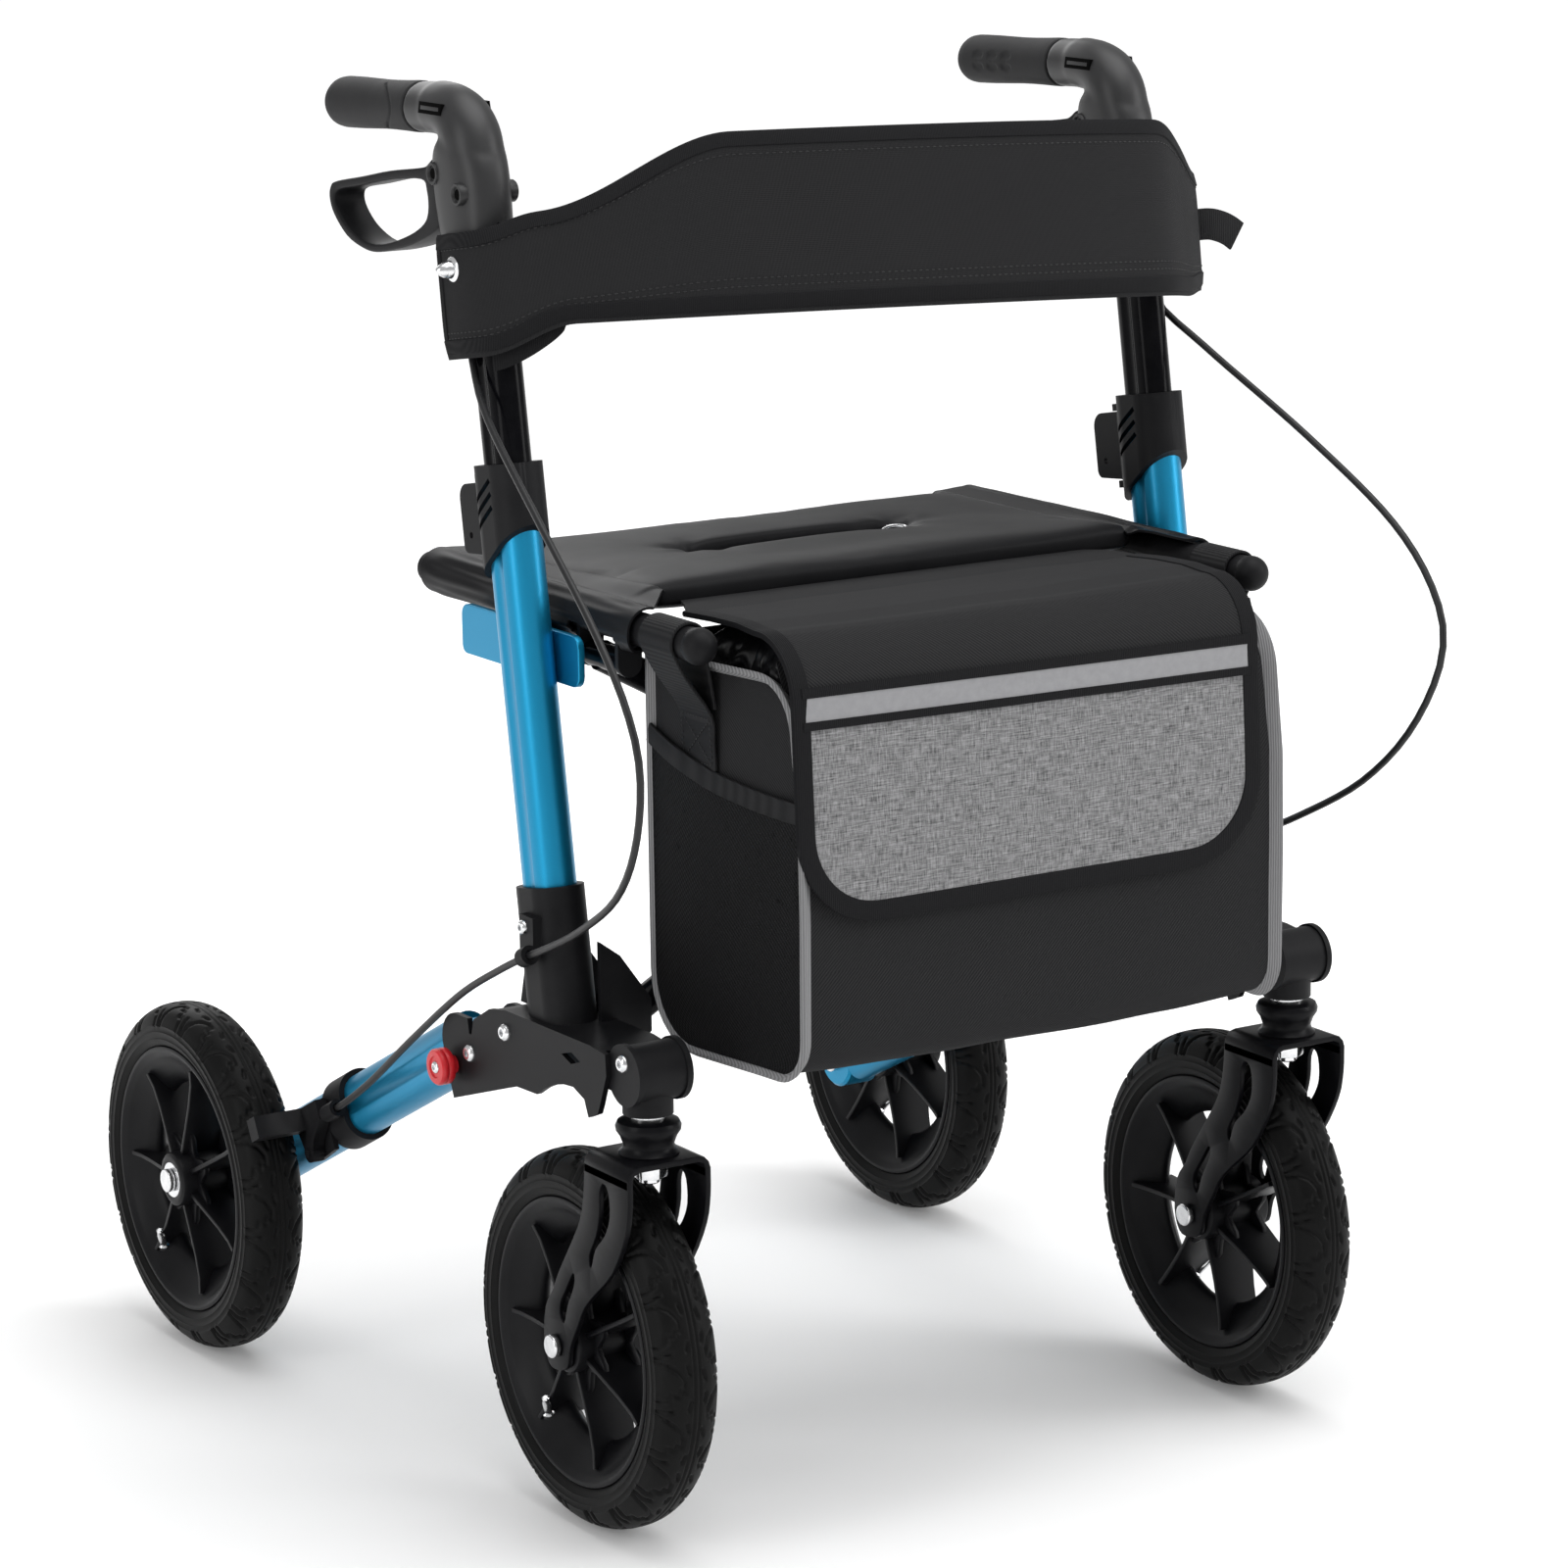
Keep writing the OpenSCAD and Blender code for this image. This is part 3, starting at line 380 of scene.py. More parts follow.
def smooth_line(points, steps):
    """A smooth curve through a few points, as a list of points."""
    points = [Vector(p) for p in points]
    ends = [2 * points[0] - points[1]] + points + [2 * points[-1] - points[-2]]
    line = []
    for near in zip(ends, ends[1:], ends[2:], ends[3:]):
        line += between_points(*near, steps)
    return line + [points[-1]]


def evenly(points, count):
    """The same line in a number of equal steps."""
    lengths = [0.0]
    for a, b in zip(points, points[1:]):
        lengths.append(lengths[-1] + (b - a).length)
    found = []
    k = 0
    for i in range(count + 1):
        goal = lengths[-1] * i / count
        while k < len(points) - 2 and lengths[k + 1] < goal:
            k += 1
        part = (goal - lengths[k]) / max(lengths[k + 1] - lengths[k], 1e-9)
        found.append(points[k].lerp(points[k + 1], min(max(part, 0.0), 1.0)))
    return found


def line_length(points):
    """Length of a line of points."""
    return sum((b - a).length for a, b in zip(points, points[1:]))


def ahead_at(line, i):
    """Direction of a line at one of its points."""
    return (line[min(i + 1, len(line) - 1)] - line[max(i - 1, 0)]).normalized()


print("line helpers ready")

# %% [markdown]
# ## Brake cables
# Each brake cable leaves the handle housing, bows forward in front of the bag, passes the clip on the socket
# and ends in the stop on the rear leg. It is one length of jacket, made as two runs that meet in the clip, an
# upper one from the handle and a lower one to the leg. A curve with a round bevel gives the tube, and a mesh
# is made from it.

# %% Brake cables
CABLE_D = 5.0
cable_top = [(272, -99, 843), (272, -110, 800), (272, -117, 760), (285, -160, 728), (302, -255, 675),
             (313, -335, 625), (315, -378, 580), (312, -387.4, 540), (304, -366, 490), (295, -325, 448),
             (288, -265, 414), (285, -220, 394), (284, -190, 382)]
cable_foot = [(284, -190, 382), (284, -155, 366), (284, -99, 337), (284, -28, 290), (283, 31, 249),
              (281.3, 74, 223), (281, 96, 211.3)]


def cable_run(name, points, finish, thick=CABLE_D):
    """A tube of cable or wire through the points, with the line it follows."""
    line = [p * MM for p in evenly(smooth_line(points, 12), 4 * len(points))]
    curve = bpy.data.curves.new(name + "_line", "CURVE")
    curve.dimensions = "3D"
    curve.bevel_depth = thick / 2 * MM
    curve.bevel_resolution = 4
    curve.use_fill_caps = True
    spline = curve.splines.new("POLY")
    spline.points.add(len(line) - 1)
    for point, at in zip(spline.points, line):
        point.co = (*at, 1.0)
    drawn = bpy.data.objects.new(name + "_line", curve)
    scene.collection.objects.link(drawn)
    mesh = bpy.data.meshes.new_from_object(drawn.evaluated_get(bpy.context.evaluated_depsgraph_get()))
    bpy.data.objects.remove(drawn)
    mesh.materials.clear()
    mesh.materials.append(finish)
    for face in mesh.polygons:
        face.use_smooth = True
    made = bpy.data.objects.new(name, mesh)
    scene.collection.objects.link(made)
    return made, line


for side, hand in SIDES.items():
    upper, line = cable_run(f"brake_cable_upper_{side}", [(hand * x, y, z) for x, y, z in cable_top], jacket)
    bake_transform(upper)
    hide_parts(f"brake_cable_{side}")
    lower, foot = cable_run(f"brake_cable_lower_{side}", [(hand * x, y, z) for x, y, z in cable_foot], jacket)
    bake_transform(lower)
    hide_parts(f"brake_cable_{side}")
    print("cable", side, "is", round(line_length(line) + line_length(foot), 3), "m long")

# %% [markdown]
# ## Castings and mouldings
# Many pieces have the right shape already and only lack the small radius that every cast or moulded edge
# has. A merged copy of the node is taken, its flat triangles are dissolved into whole faces and the sharp
# edges are bevelled. Weighted normals keep the flat faces flat in the light.

# %% Softened copies of the nodes
def softened(node, finish, body, width, segments=2, sharp=30.0):
    """A copy of a node with rounded edges, which stands for it."""
    bm = bmesh.new()
    bm.from_mesh(frame["nodes"][node].data)
    bmesh.ops.scale(bm, vec=(1 / MM, 1 / MM, 1 / MM), verts=bm.verts)
    bmesh.ops.remove_doubles(bm, verts=bm.verts, dist=0.01)
    bmesh.ops.dissolve_limit(bm, angle_limit=math.radians(0.6), verts=bm.verts, edges=bm.edges)
    edges = [e for e in bm.edges if e.is_manifold and e.calc_face_angle(0.0) > math.radians(sharp)]
    bmesh.ops.bevel(bm, geom=edges, offset=width, offset_type="OFFSET", affect="EDGES", segments=segments,
                    profile=0.5, material=-1, clamp_overlap=True)
    made = piece(node + "_soft", bm, finish, body, [node], sharp=50.0, closed=False)
    weights = made.modifiers.new("flat_faces", "WEIGHTED_NORMAL")
    weights.keep_sharp = True
    return made


BODY_OF = {n: b for b, members in frame["record"]["behaviour"]["bodies"].items() for n in members}
edge_widths = {
    "height_collar": (plastic, 1.0), "clamp_lever": (plastic, 1.0), "hinge_bracket": (bracket, 0.8),
    "seat_saddle": (blue, 0.8), "caster_head": (plastic, 1.2), "brake_mount": (plastic, 0.9),
    "brake_shoe": (plastic, 0.9), "rear_axle": (steel, 0.8), "front_axle": (steel, 1.6),
    "rear_bearings": (steel, 0.5), "front_bearings": (steel, 0.5), "seat_rail": (plastic, 0.6)}
for stem, (finish, width) in edge_widths.items():
    for side in SIDES:
        node = f"{stem}_{side}"
        softened(node, finish, BODY_OF[node], width)
for node in ("cross_brace_a", "cross_brace_b"):
    softened(node, post, BODY_OF[node], 0.6)
print("softened", 2 * len(edge_widths) + 2, "nodes")

# %% [markdown]
# ## Oval tubes
# The uprights, the rear legs and the handle posts are drawn tubes with flat sides and round ends, and a
# shallow crease runs down each flat side. One ring of points is extruded from station to station, which
# keeps the crease straight and gives clean long faces.

# %% Oval tubes
FRAME_X, POST_FOOT_Y, POST_TILT = 256.0, -239.0, 8.8
AXLE_Y, AXLE_Z, LEG_SLOPE = 263.0, 127.0, 26.8
on_post = Matrix.Translation((FRAME_X, POST_FOOT_Y, 0)) @ Matrix.Rotation(math.radians(-POST_TILT), 4, "X")
on_leg = Matrix.Translation((FRAME_X, AXLE_Y, AXLE_Z)) @ Matrix.Rotation(math.radians(90 - LEG_SLOPE), 4, "X")


def oval_ring(width, depth, crease, steps=14):
    """Points round an oval section, long in y, with a crease in each flat side."""
    r, flat = width / 2, (depth - width) / 2
    ring = []
    for middle, start in ((flat, 0.0), (-flat, math.pi)):
        for i in range(steps + 1):
            a = start + math.pi * i / steps
            ring.append(Vector((r * math.cos(a), middle + r * math.sin(a), 0)))
        x = -r if start == 0.0 else r
        inwards = 1 if x < 0 else -1
        for y, share in ((0.5, 0.0), (0.36, 0.35), (0.2, 1.0), (-0.2, 1.0), (-0.36, 0.35), (-0.5, 0.0)):
            ring.append(Vector((x + inwards * crease * share, inwards * y * 1.8 * flat, 0)))
    return ring


def new_verts(geom):
    """The vertices among what an operator has made."""
    return [g for g in geom if isinstance(g, bmesh.types.BMVert)]


def grown_edges(bm, edges):
    """Extrudes edges and gives the new vertices and the new edges between them."""
    grown = bmesh.ops.extrude_edge_only(bm, edges=edges)["geom"]
    fresh = new_verts(grown)
    ends = set(fresh)
    return fresh, [g for g in grown if isinstance(g, bmesh.types.BMEdge) and set(g.verts) <= ends]


def swept(bm, ring, stations):
    """Extrudes a closed ring of points from station to station; a station is a matrix."""
    verts = [bm.verts.new(stations[0] @ p) for p in ring]
    edges = [bm.edges.new(pair) for pair in zip(verts, verts[1:] + verts[:1])]
    bm.faces.new(verts[::-1])
    for before, after in zip(stations, stations[1:]):
        fresh, edges = grown_edges(bm, edges)
        bmesh.ops.transform(bm, matrix=after @ before.inverted(), verts=fresh)
    bmesh.ops.edgeloop_fill(bm, edges=edges)


def tube_between(ring, place, low, high, count=12):
    """A straight oval tube along the z of a frame."""
    bm = bmesh.new()
    heights = [low + (high - low) * i / count for i in range(count + 1)]
    swept(bm, ring, [place @ Matrix.Translation((0, 0, z)) for z in heights])
    return bm


for side, hand in SIDES.items():
    upright = tube_between(oval_ring(29, 42, 1.1), on_post, 341, 690)
    piece(f"upright_{side}", handed(upright, hand), blue, f"frame_{side}", [f"upright_tube_{side}"])
    stem = tube_between(oval_ring(25, 38, 1.4), on_post, 500, 880)
    piece(f"post_{side}", handed(stem, hand), post, f"handle_{side}", [f"handle_post_{side}"])
print("uprights and posts drawn")

# %% [markdown]
# ## Round things
# A lathe makes anything round: a few points are spun about an axis. The rear leg's end, the wheels, the
# swivel cups and the grips all use the same helper.

# %% Lathe helper and rear legs
def turned(bm, profile, centre, axis, steps=48, ring=False):
    """Spins a profile of (radius, along) points about an axis through a centre."""
    centre, axis = Vector(centre), Vector(axis).normalized()
    out = axis.orthogonal().normalized()
    verts = [bm.verts.new(centre + axis * along + out * radius) for radius, along in profile]
    pairs = list(zip(verts, verts[1:])) + ([(verts[-1], verts[0])] if ring else [])
    edges = [bm.edges.new(pair) for pair in pairs]
    before = set(bm.verts)
    bmesh.ops.spin(bm, geom=verts + edges, cent=centre, axis=axis, dvec=(0, 0, 0), angle=2 * math.pi,
                   steps=steps, use_merge=True, use_normal_flip=False)
    fresh = [v for v in bm.verts if v not in before] + verts
    bmesh.ops.remove_doubles(bm, verts=fresh, dist=0.001)
    return bm


def plate(bm, outline, holes, place, low, high, edge=0.0, segments=2):
    """A flat plate cut to an outline with holes, extruded from low to high along x of a frame."""
    edges = []
    for loop in [outline] + list(holes):
        verts = [bm.verts.new(place @ Vector((low, a, b))) for a, b in loop]
        edges += [bm.edges.new(pair) for pair in zip(verts, verts[1:] + verts[:1])]
    filled = bmesh.ops.triangle_fill(bm, use_beauty=True, use_dissolve=False, edges=edges)["geom"]
    faces = [g for g in filled if isinstance(g, bmesh.types.BMFace)]
    grown = bmesh.ops.extrude_face_region(bm, geom=faces)["geom"]
    shift = place.to_3x3() @ Vector((high - low, 0, 0))
    bmesh.ops.translate(bm, vec=shift, verts=new_verts(grown))
    if edge:
        rims = edges + [g for g in grown if isinstance(g, bmesh.types.BMEdge) and
                        len([f for f in g.link_faces if f in grown]) == 1]
        bmesh.ops.bevel(bm, geom=rims, offset=edge, offset_type="OFFSET", affect="EDGES", segments=segments,
                        profile=0.5, material=-1, clamp_overlap=True)
    return bm


def rounded_outline(points, passes=2):
    """Cuts the corners of an outline until it is smooth."""
    points = [Vector(p) for p in points]
    for _ in range(passes):
        cut = []
        for a, b in zip(points, points[1:] + points[:1]):
            cut += [a.lerp(b, 0.25), a.lerp(b, 0.75)]
        points = cut
    return [(p.x, p.y) for p in points]


RIGHT = Matrix.Translation((FRAME_X, 0, 0))
leg_eye = [(-111, 313), (-98, 314), (-56, 309), (-47, 291.5), (-53.5, 279), (-72, 272), (-110, 280),
           (-121, 297)]
for side, hand in SIDES.items():
    leg = tube_between(oval_ring(30, 44, 1.2), on_leg, 14, 366, 16)
    turned(leg, [(5, -14.2), (19.5, -14.2), (21.5, -12.2), (21.5, 12.2), (19.5, 14.2), (5, 14.2)],
           (FRAME_X, AXLE_Y, AXLE_Z), (1, 0, 0), ring=True)
    plate(leg, rounded_outline(leg_eye, 2), [], RIGHT, -14.8, 14.8, edge=1.0)
    piece(f"rear_leg_tube_{side}", handed(leg, hand), blue, f"rear_leg_{side}", [f"rear_leg_{side}"])
print("rear legs drawn")

# %% [markdown]
# ## Tyres
# The tyre is a spun section with the tread cut into it afterwards. On the real tyre each shoulder carries a
# row of curved cuts that return to the edge in a zigzag, with short cuts between them and two thin lines
# round the middle. The marks are a few lines in (across, along), and every vertex near one is sunk.

# %% Tyres
TYRE_R, TYRE_HALF, TREAD_REPEATS, TREAD_DEEP = 127.0, 23.0, 20, 1.5
TREAD_PITCH = 2 * math.pi * TYRE_R / TREAD_REPEATS
tread_marks = [
    [(23.5, 0.0), (18.0, 2.5), (12.0, 7.5), (8.0, 14.5), (8.2, 21.5)],
    [(8.2, 21.5), (11.6, 19.4), (12.4, 24.5), (16.2, 22.6), (17.0, 28.5), (23.5, 30.0)],
    [(4.6, 29.0), (6.0, 34.5)], [(5.2, 9.5), (6.4, 4.0)], [(15.0, 35.0), (23.5, 37.0)]]


def distance_to(mark, across, along):
    """Shortest distance from a point to a line of points."""
    best = 99.0
    for (ax, ay), (bx, by) in zip(mark, mark[1:]):
        dx, dy = bx - ax, by - ay
        t = ((across - ax) * dx + (along - ay) * dy) / (dx * dx + dy * dy)
        t = min(max(t, 0.0), 1.0)
        best = min(best, math.hypot(across - ax - t * dx, along - ay - t * dy))
    return best


def tread_depth(across, along):
    """How deep the tread is cut at a place on the tyre."""
    along = along + (TREAD_PITCH / 2 if across < 0 else 0.0)
    along = along % TREAD_PITCH
    near = min(distance_to(mark, abs(across), along + wrap) for mark in tread_marks
               for wrap in (0.0, -TREAD_PITCH if along > 30 else TREAD_PITCH))
    return TREAD_DEEP * min(max((1.5 - near) / 0.9, 0.0), 1.0)


across_marks = [0.0, 0.9, 1.5, 1.9, 2.3, 2.9] + [3.7 + 0.93 * i for i in range(20)]
half_section = [(106 + 21 * (1 - (x / TYRE_HALF) ** 2.3) ** (1 / 2.3), x) for x in across_marks]
half_section = [(r - (0.7 if 1.4 < x < 2.4 else 0.0), x) for r, x in half_section]
wall = [(113.4, 22.2), (112.4, 22.9), (111.6, 22.4), (108.6, 22.8), (107.8, 23.3), (107.0, 22.8),
        (103.5, 22.6), (102.7, 23.0), (101.9, 22.4), (99.5, 21.4), (97.6, 20.2), (97.0, 19.0), (98.5, 17.5),
        (99.5, 12.0), (99.5, 0.0)]
half_section += wall
section = half_section + [(r, -x) for r, x in half_section[-2:0:-1]]
tyre_mesh = bmesh.new()
turned(tyre_mesh, section, (0, 0, 0), (1, 0, 0), steps=560, ring=True)
for vert in tyre_mesh.verts:
    out = math.hypot(vert.co.y, vert.co.z)
    if out > 112:
        angle = math.atan2(vert.co.z, vert.co.y) + math.pi
        sink = tread_depth(vert.co.x, angle * TYRE_R)
        if sink > 0:
            share = 1 - sink / out
            vert.co = Vector((vert.co.x * (1 - 0.5 * sink / TYRE_HALF), vert.co.y * share, vert.co.z * share))
REAR_TRACK, FRONT_AXLE_Y = 304.0, -223.0
WHEELS = {}
for side, hand in SIDES.items():
    WHEELS[f"rear_{side}"] = (hand * REAR_TRACK, AXLE_Y, f"rear_wheel_{side}")
    WHEELS[f"front_{side}"] = (hand * FRAME_X, FRONT_AXLE_Y, f"front_wheel_{side}")
for name, (x, y, body) in WHEELS.items():
    bm = tyre_mesh.copy()
    bmesh.ops.translate(bm, vec=(x, y, AXLE_Z), verts=bm.verts)
    tyre = piece(name + "_air_tyre", bm, tyre_rubber, body, [name.replace("_", "_tyre_")], sharp=60.0)
print("tyre:", len(tyre.data.polygons), "faces")

# %% [markdown]
# ## Rims
# A rim is a moulded deep dish: a barrel with a rolled lip that narrows to a well in the middle, a hub with
# bearing seats, seven deep ribs that flare where they meet hub and barrel, and a scalloped web that ties them
# at the hub. Barrel and hub are turned, the ribs and the web are cut plates. A bright valve looks out between
# two ribs.

# %% Rims
RIBS, RIB_TURN, VALVE_TURN = 7, 0.23, 0.72
WEB_R, WEB_WAVE, WEB_STEPS, WEB_THICK = 29.5, 6.5, RIBS * 6, 4.0
lip = [(97.4, 0), (97.4, 19.0), (96.6, 20.6), (95.0, 21.2), (93.2, 20.8), (91.8, 19.4), (90.4, 18.8),
       (88.6, 17.0), (86.2, 15.0), (83.2, 12.4), (77.0, 8.6), (71.0, 4.6), (68.6, 1.6), (68.4, 0.0)]
barrel = lip + [(r, -x) for r, x in lip[-2:0:-1]]
hub_half = [(20.0, 0), (20.0, 22.5), (19.2, 24.6), (17.4, 25.6), (15.2, 26.0), (13.2, 25.6), (13.0, 22.0),
            (9.0, 22.0)]
hub = hub_half + [(r, -x) for r, x in hub_half[::-1][:-1]]
rib = [(-19.5, 18.0), (19.5, 18.0), (19.0, 24.0), (17.4, 40.0), (15.8, 58.0), (15.4, 74.0), (16.8, 85.2),
       (-18.6, 85.2), (-17.6, 77.0), (-17.0, 66.0), (-17.0, 52.0), (-17.6, 40.0), (-19.0, 27.0)]
web = []
for a in (2 * math.pi * i / WEB_STEPS for i in range(WEB_STEPS)):
    reach = WEB_R + WEB_WAVE * math.cos(RIBS * a)
    web.append((math.cos(a) * reach, math.sin(a) * reach))
rim_mesh = bmesh.new()
turned(rim_mesh, barrel, (0, 0, 0), (1, 0, 0), steps=112, ring=True)
turned(rim_mesh, hub, (0, 0, 0), (1, 0, 0), steps=56, ring=True)
FACE_ON = Matrix(((0, 1, 0, 0), (1, 0, 0, 0), (0, 0, 1, 0), (0, 0, 0, 1)))
for i in range(RIBS):
    spin = Matrix.Rotation(2 * math.pi * (i + RIB_TURN) / RIBS, 4, "X")
    plate(rim_mesh, rib, [], spin @ FACE_ON, -1.7, 1.7, edge=0.7)
web_turn = Matrix.Rotation(2 * math.pi * RIB_TURN / RIBS + math.pi / 2, 4, "X")
for x in (-14.0, 10.0):
    plate(rim_mesh, web, [], web_turn, x, x + WEB_THICK, edge=0.8)
bmesh.ops.recalc_face_normals(rim_mesh, faces=rim_mesh.faces)
valve_mesh = bmesh.new()
valve_turn = Matrix.Rotation(2 * math.pi * VALVE_TURN / RIBS, 3, "X")
valve = [(0, 0), (4.4, 0), (4.4, 7), (3.0, 8), (2.8, 20), (2.4, 20.6), (2.4, 26), (1.4, 27), (0, 27)]
turned(valve_mesh, valve, valve_turn @ Vector((9, 0, -85)), valve_turn @ Vector((0.45, 0, 1)), steps=20)
for name, (x, y, body) in WHEELS.items():
    for label, drawn, finish in (("dish", rim_mesh, rim_plastic), ("valve", valve_mesh, steel)):
        bm = drawn.copy()
        if x < 0:
            handed(bm, -1)
        bmesh.ops.translate(bm, vec=(x, y, AXLE_Z), verts=bm.verts)
        nodes = [name.replace("_", "_rim_")] if label == "dish" else []
        piece(f"{name}_{label}", bm, finish, body, nodes, sharp=35.0, closed=False)
print("rim with", RIBS, "ribs drawn")

# %% [markdown]
# ## Caster forks
# The fork is one bent plate with two S-shaped slots in each side. Its sides are cut plates with rounded
# edges, and the crown is a strip swept over two round shoulders. Swivel cup, steel ring, stem and the nut
# under the crown go with it.

# %% Caster forks
STEM_Y, FORK_OUT, FORK_IN = -294.0, 31.0, 27.0
fork_side = [(-264, 262), (-262, 240), (-257, 222), (-247, 206), (-227, 178), (-219, 164), (-209, 150),
             (-206, 127), (-212, 112), (-223, 110), (-236, 115), (-240.5, 130), (-250, 146), (-260, 162),
             (-274, 175), (-297, 195), (-314, 223), (-319, 243), (-319.5, 262)]
slot_high = [(-283, 246), (-288, 253), (-294, 248), (-295, 232), (-288, 218), (-276, 206), (-270, 192),
             (-268, 200), (-277, 215), (-282, 231)]
slot_low = [(-246, 182), (-248, 178), (-245, 170), (-238, 158), (-233, 145), (-228, 150), (-229, 158),
            (-236, 168)]


def soft_outline(points, steps=4):
    """A smooth closed outline through its points."""
    closed = [Vector(p) for p in points]
    line = []
    for i in range(len(closed)):
        line += between_points(*(closed[(i + k) % len(closed)] for k in (-1, 0, 1, 2)), steps)
    return [(p.x, p.y) for p in line]


print("fork slots are", len(slot_high), "and", len(slot_low), "points")

# %% [markdown]
# The bright parts of the fork are drawn apart from its plates, because they have a finish of their own.

# %% Fork plates and steel
NUT_R, NUT_TALL, NUT_Z = 12, 11.6, 260.0


def fork_drawing():
    """Both sides, the crown and the cup of one fork, drawn for the right."""
    bm = bmesh.new()
    outline = [(p.x, p.y) for p in smooth_line([(y, z, 0) for y, z in fork_side], 3)]
    slots = [soft_outline(slot_high, 3), soft_outline(slot_low, 3)]
    for x in (-FORK_OUT, FORK_IN):
        plate(bm, outline, slots, RIGHT, x, x + FORK_OUT - FORK_IN, edge=0.9)
    shoulder = [(FORK_OUT, 256.0), (FORK_OUT, 261.0), (29.8, 265.4), (26.6, 268.8), (22.0, 270.0)]
    inside = [(FORK_IN, 256.0), (FORK_IN, 261.0), (25.6, 264.6), (22.0, 266.0)]
    strip = shoulder + [(-x, z) for x, z in shoulder[::-1]] + [(-x, z) for x, z in inside] + inside[::-1]
    plate(bm, strip, [], RIGHT @ FACE_ON, -319.4, -263.8, edge=0.8)
    cup = [(0, 269), (19.5, 269), (19.8, 271.5), (17.2, 274), (16.6, 277), (18.6, 282.5), (21.0, 286),
           (21.4, 289), (20.0, 292), (16.0, 293.5), (0, 293.5)]
    turned(bm, cup, (FRAME_X, STEM_Y, 0), (0, 0, 1), steps=48)
    return bm


def fork_steel():
    """Stem, bright ring and the hexagon nut under the crown."""
    bm = bmesh.new()
    stem_and_ring = [(0, 290), (11.4, 290), (12.4, 293.4), (12.4, 296.2), (7.0, 296.5), (7.0, 313), (0, 313)]
    stem_end = [(0, 250.5), (6, 250.5), (7, 251.5), (7, 256), (0, 256)]
    turned(bm, stem_and_ring, (FRAME_X, STEM_Y, 0), (0, 0, 1), steps=40)
    turned(bm, stem_end, (FRAME_X, STEM_Y, 0), (0, 0, 1), steps=32)
    nut = bmesh.ops.create_cone(bm, cap_ends=True, segments=6, radius1=NUT_R, radius2=NUT_R, depth=NUT_TALL,
                                matrix=Matrix.Translation((FRAME_X, STEM_Y, NUT_Z)))
    edges = list({e for v in nut["verts"] for e in v.link_edges})
    bmesh.ops.bevel(bm, geom=edges, offset=1.2, offset_type="OFFSET", affect="EDGES", segments=2, profile=0.5,
                    material=-1)
    return bm


for side, hand in SIDES.items():
    piece(f"fork_plates_{side}", handed(fork_drawing(), hand), fork, f"caster_{side}",
          [f"caster_fork_{side}"])
    piece(f"fork_stem_{side}", handed(fork_steel(), hand), steel, f"caster_{side}")
print("caster forks drawn")

# %% [markdown]
# ## Handles
# The handle is a moulded elbow. Its neck is a deep oval with a slot at the back for the lever, and a tube
# bends out of the neck towards the grip. Both are rings swept from station to station. Two screws with raised
# rims and a slot with a bar complete it. The grip is turned, with a seam and two rows of thumb dimples.

# %% Rings and stations of the handle
def ellipse_ring(count=44):
    """A circle of radius one in x and y."""
    angles = [2 * math.pi * i / count for i in range(count)]
    return [Vector((math.cos(a), math.sin(a), 0)) for a in angles]


def neck_ring(count=40, power=2.5, slot=0.64, slot_end=0.34):
    """A full oval of radius one with a slot cut in from its back."""
    ring = []
    start = math.asin(slot ** (power / 2))
    for i in range(count + 1):
        a = math.pi / 2 - start - (2 * math.pi - 2 * start) * i / count
        x, y = (math.copysign(abs(c) ** (2 / power), c) for c in (math.cos(a), math.sin(a)))
        ring.append(Vector((x, y, 0)))
    return ring + [Vector((-slot, slot_end, 0)), Vector((slot, slot_end, 0))]


tube_line = [(-102.0, 862.0), (-100.8, 876.0), (-98.4, 890.0), (-93.4, 903.5), (-84.0, 913.4), (-71.0, 918.4),
             (-58.0, 919.8), (-53.2, 919.7), (-52.6, 919.7), (-30.5, 918.8)]
tube_size = [(18.2, 20.2), (18.6, 19.6), (19.3, 19.6), (19.7, 19.6), (19.3, 18.8), (18.7, 18.1), (18.3, 17.7),
             (18.1, 17.6), (17.4, 17.1), (17.1, 16.9)]
neck_line = [(-98.6, 834.0), (-97.4, 843.0), (-95.2, 856.0), (-92.8, 872.0), (-90.8, 886.0), (-90.0, 895.0),
             (-89.6, 901.0), (-89.4, 905.0)]
neck_size = [(18.4, 27.6), (19.7, 29.4), (20.0, 31.0), (20.2, 31.8), (20.2, 30.6), (20.0, 27.0), (18.8, 21.0),
             (16.0, 14.0)]


def bend_stations(places, sizes, level=False):
    """Matrices along a bend in the plane of y and z, each with the size of its ring."""
    line = smooth_line([Vector((0, y, z)) for y, z in places], 5)
    grown = smooth_line([Vector((a, b, 0)) for a, b in sizes], 5)
    found = []
    for i, (at, size) in enumerate(zip(line, grown)):
        ahead = Vector((0, 0, 1)) if level else ahead_at(line, i)
        side_on = Vector((1, 0, 0))
        grow = Matrix.Diagonal((size.x, size.y, 1, 1))
        found.append(axes_at((FRAME_X, at.y, at.z), side_on, ahead.cross(side_on), ahead) @ grow)
    return found


print("neck of", len(neck_line), "and tube of", len(tube_line), "places")

# %% [markdown]
# Neck and tube overlap, but on the real handle they are one moulding. A voxel remesh makes one skin of both,
# and a few smoothing passes round the place where they meet. The rims of the screws are added after that,
# because they have to stay crisp.

# %% Melted housing
VOXEL, SMOOTHING = 1.3, 14
screw_places = [(-76.0, 880.0, 18.6), (-109.0, 869.0, 19.2)]


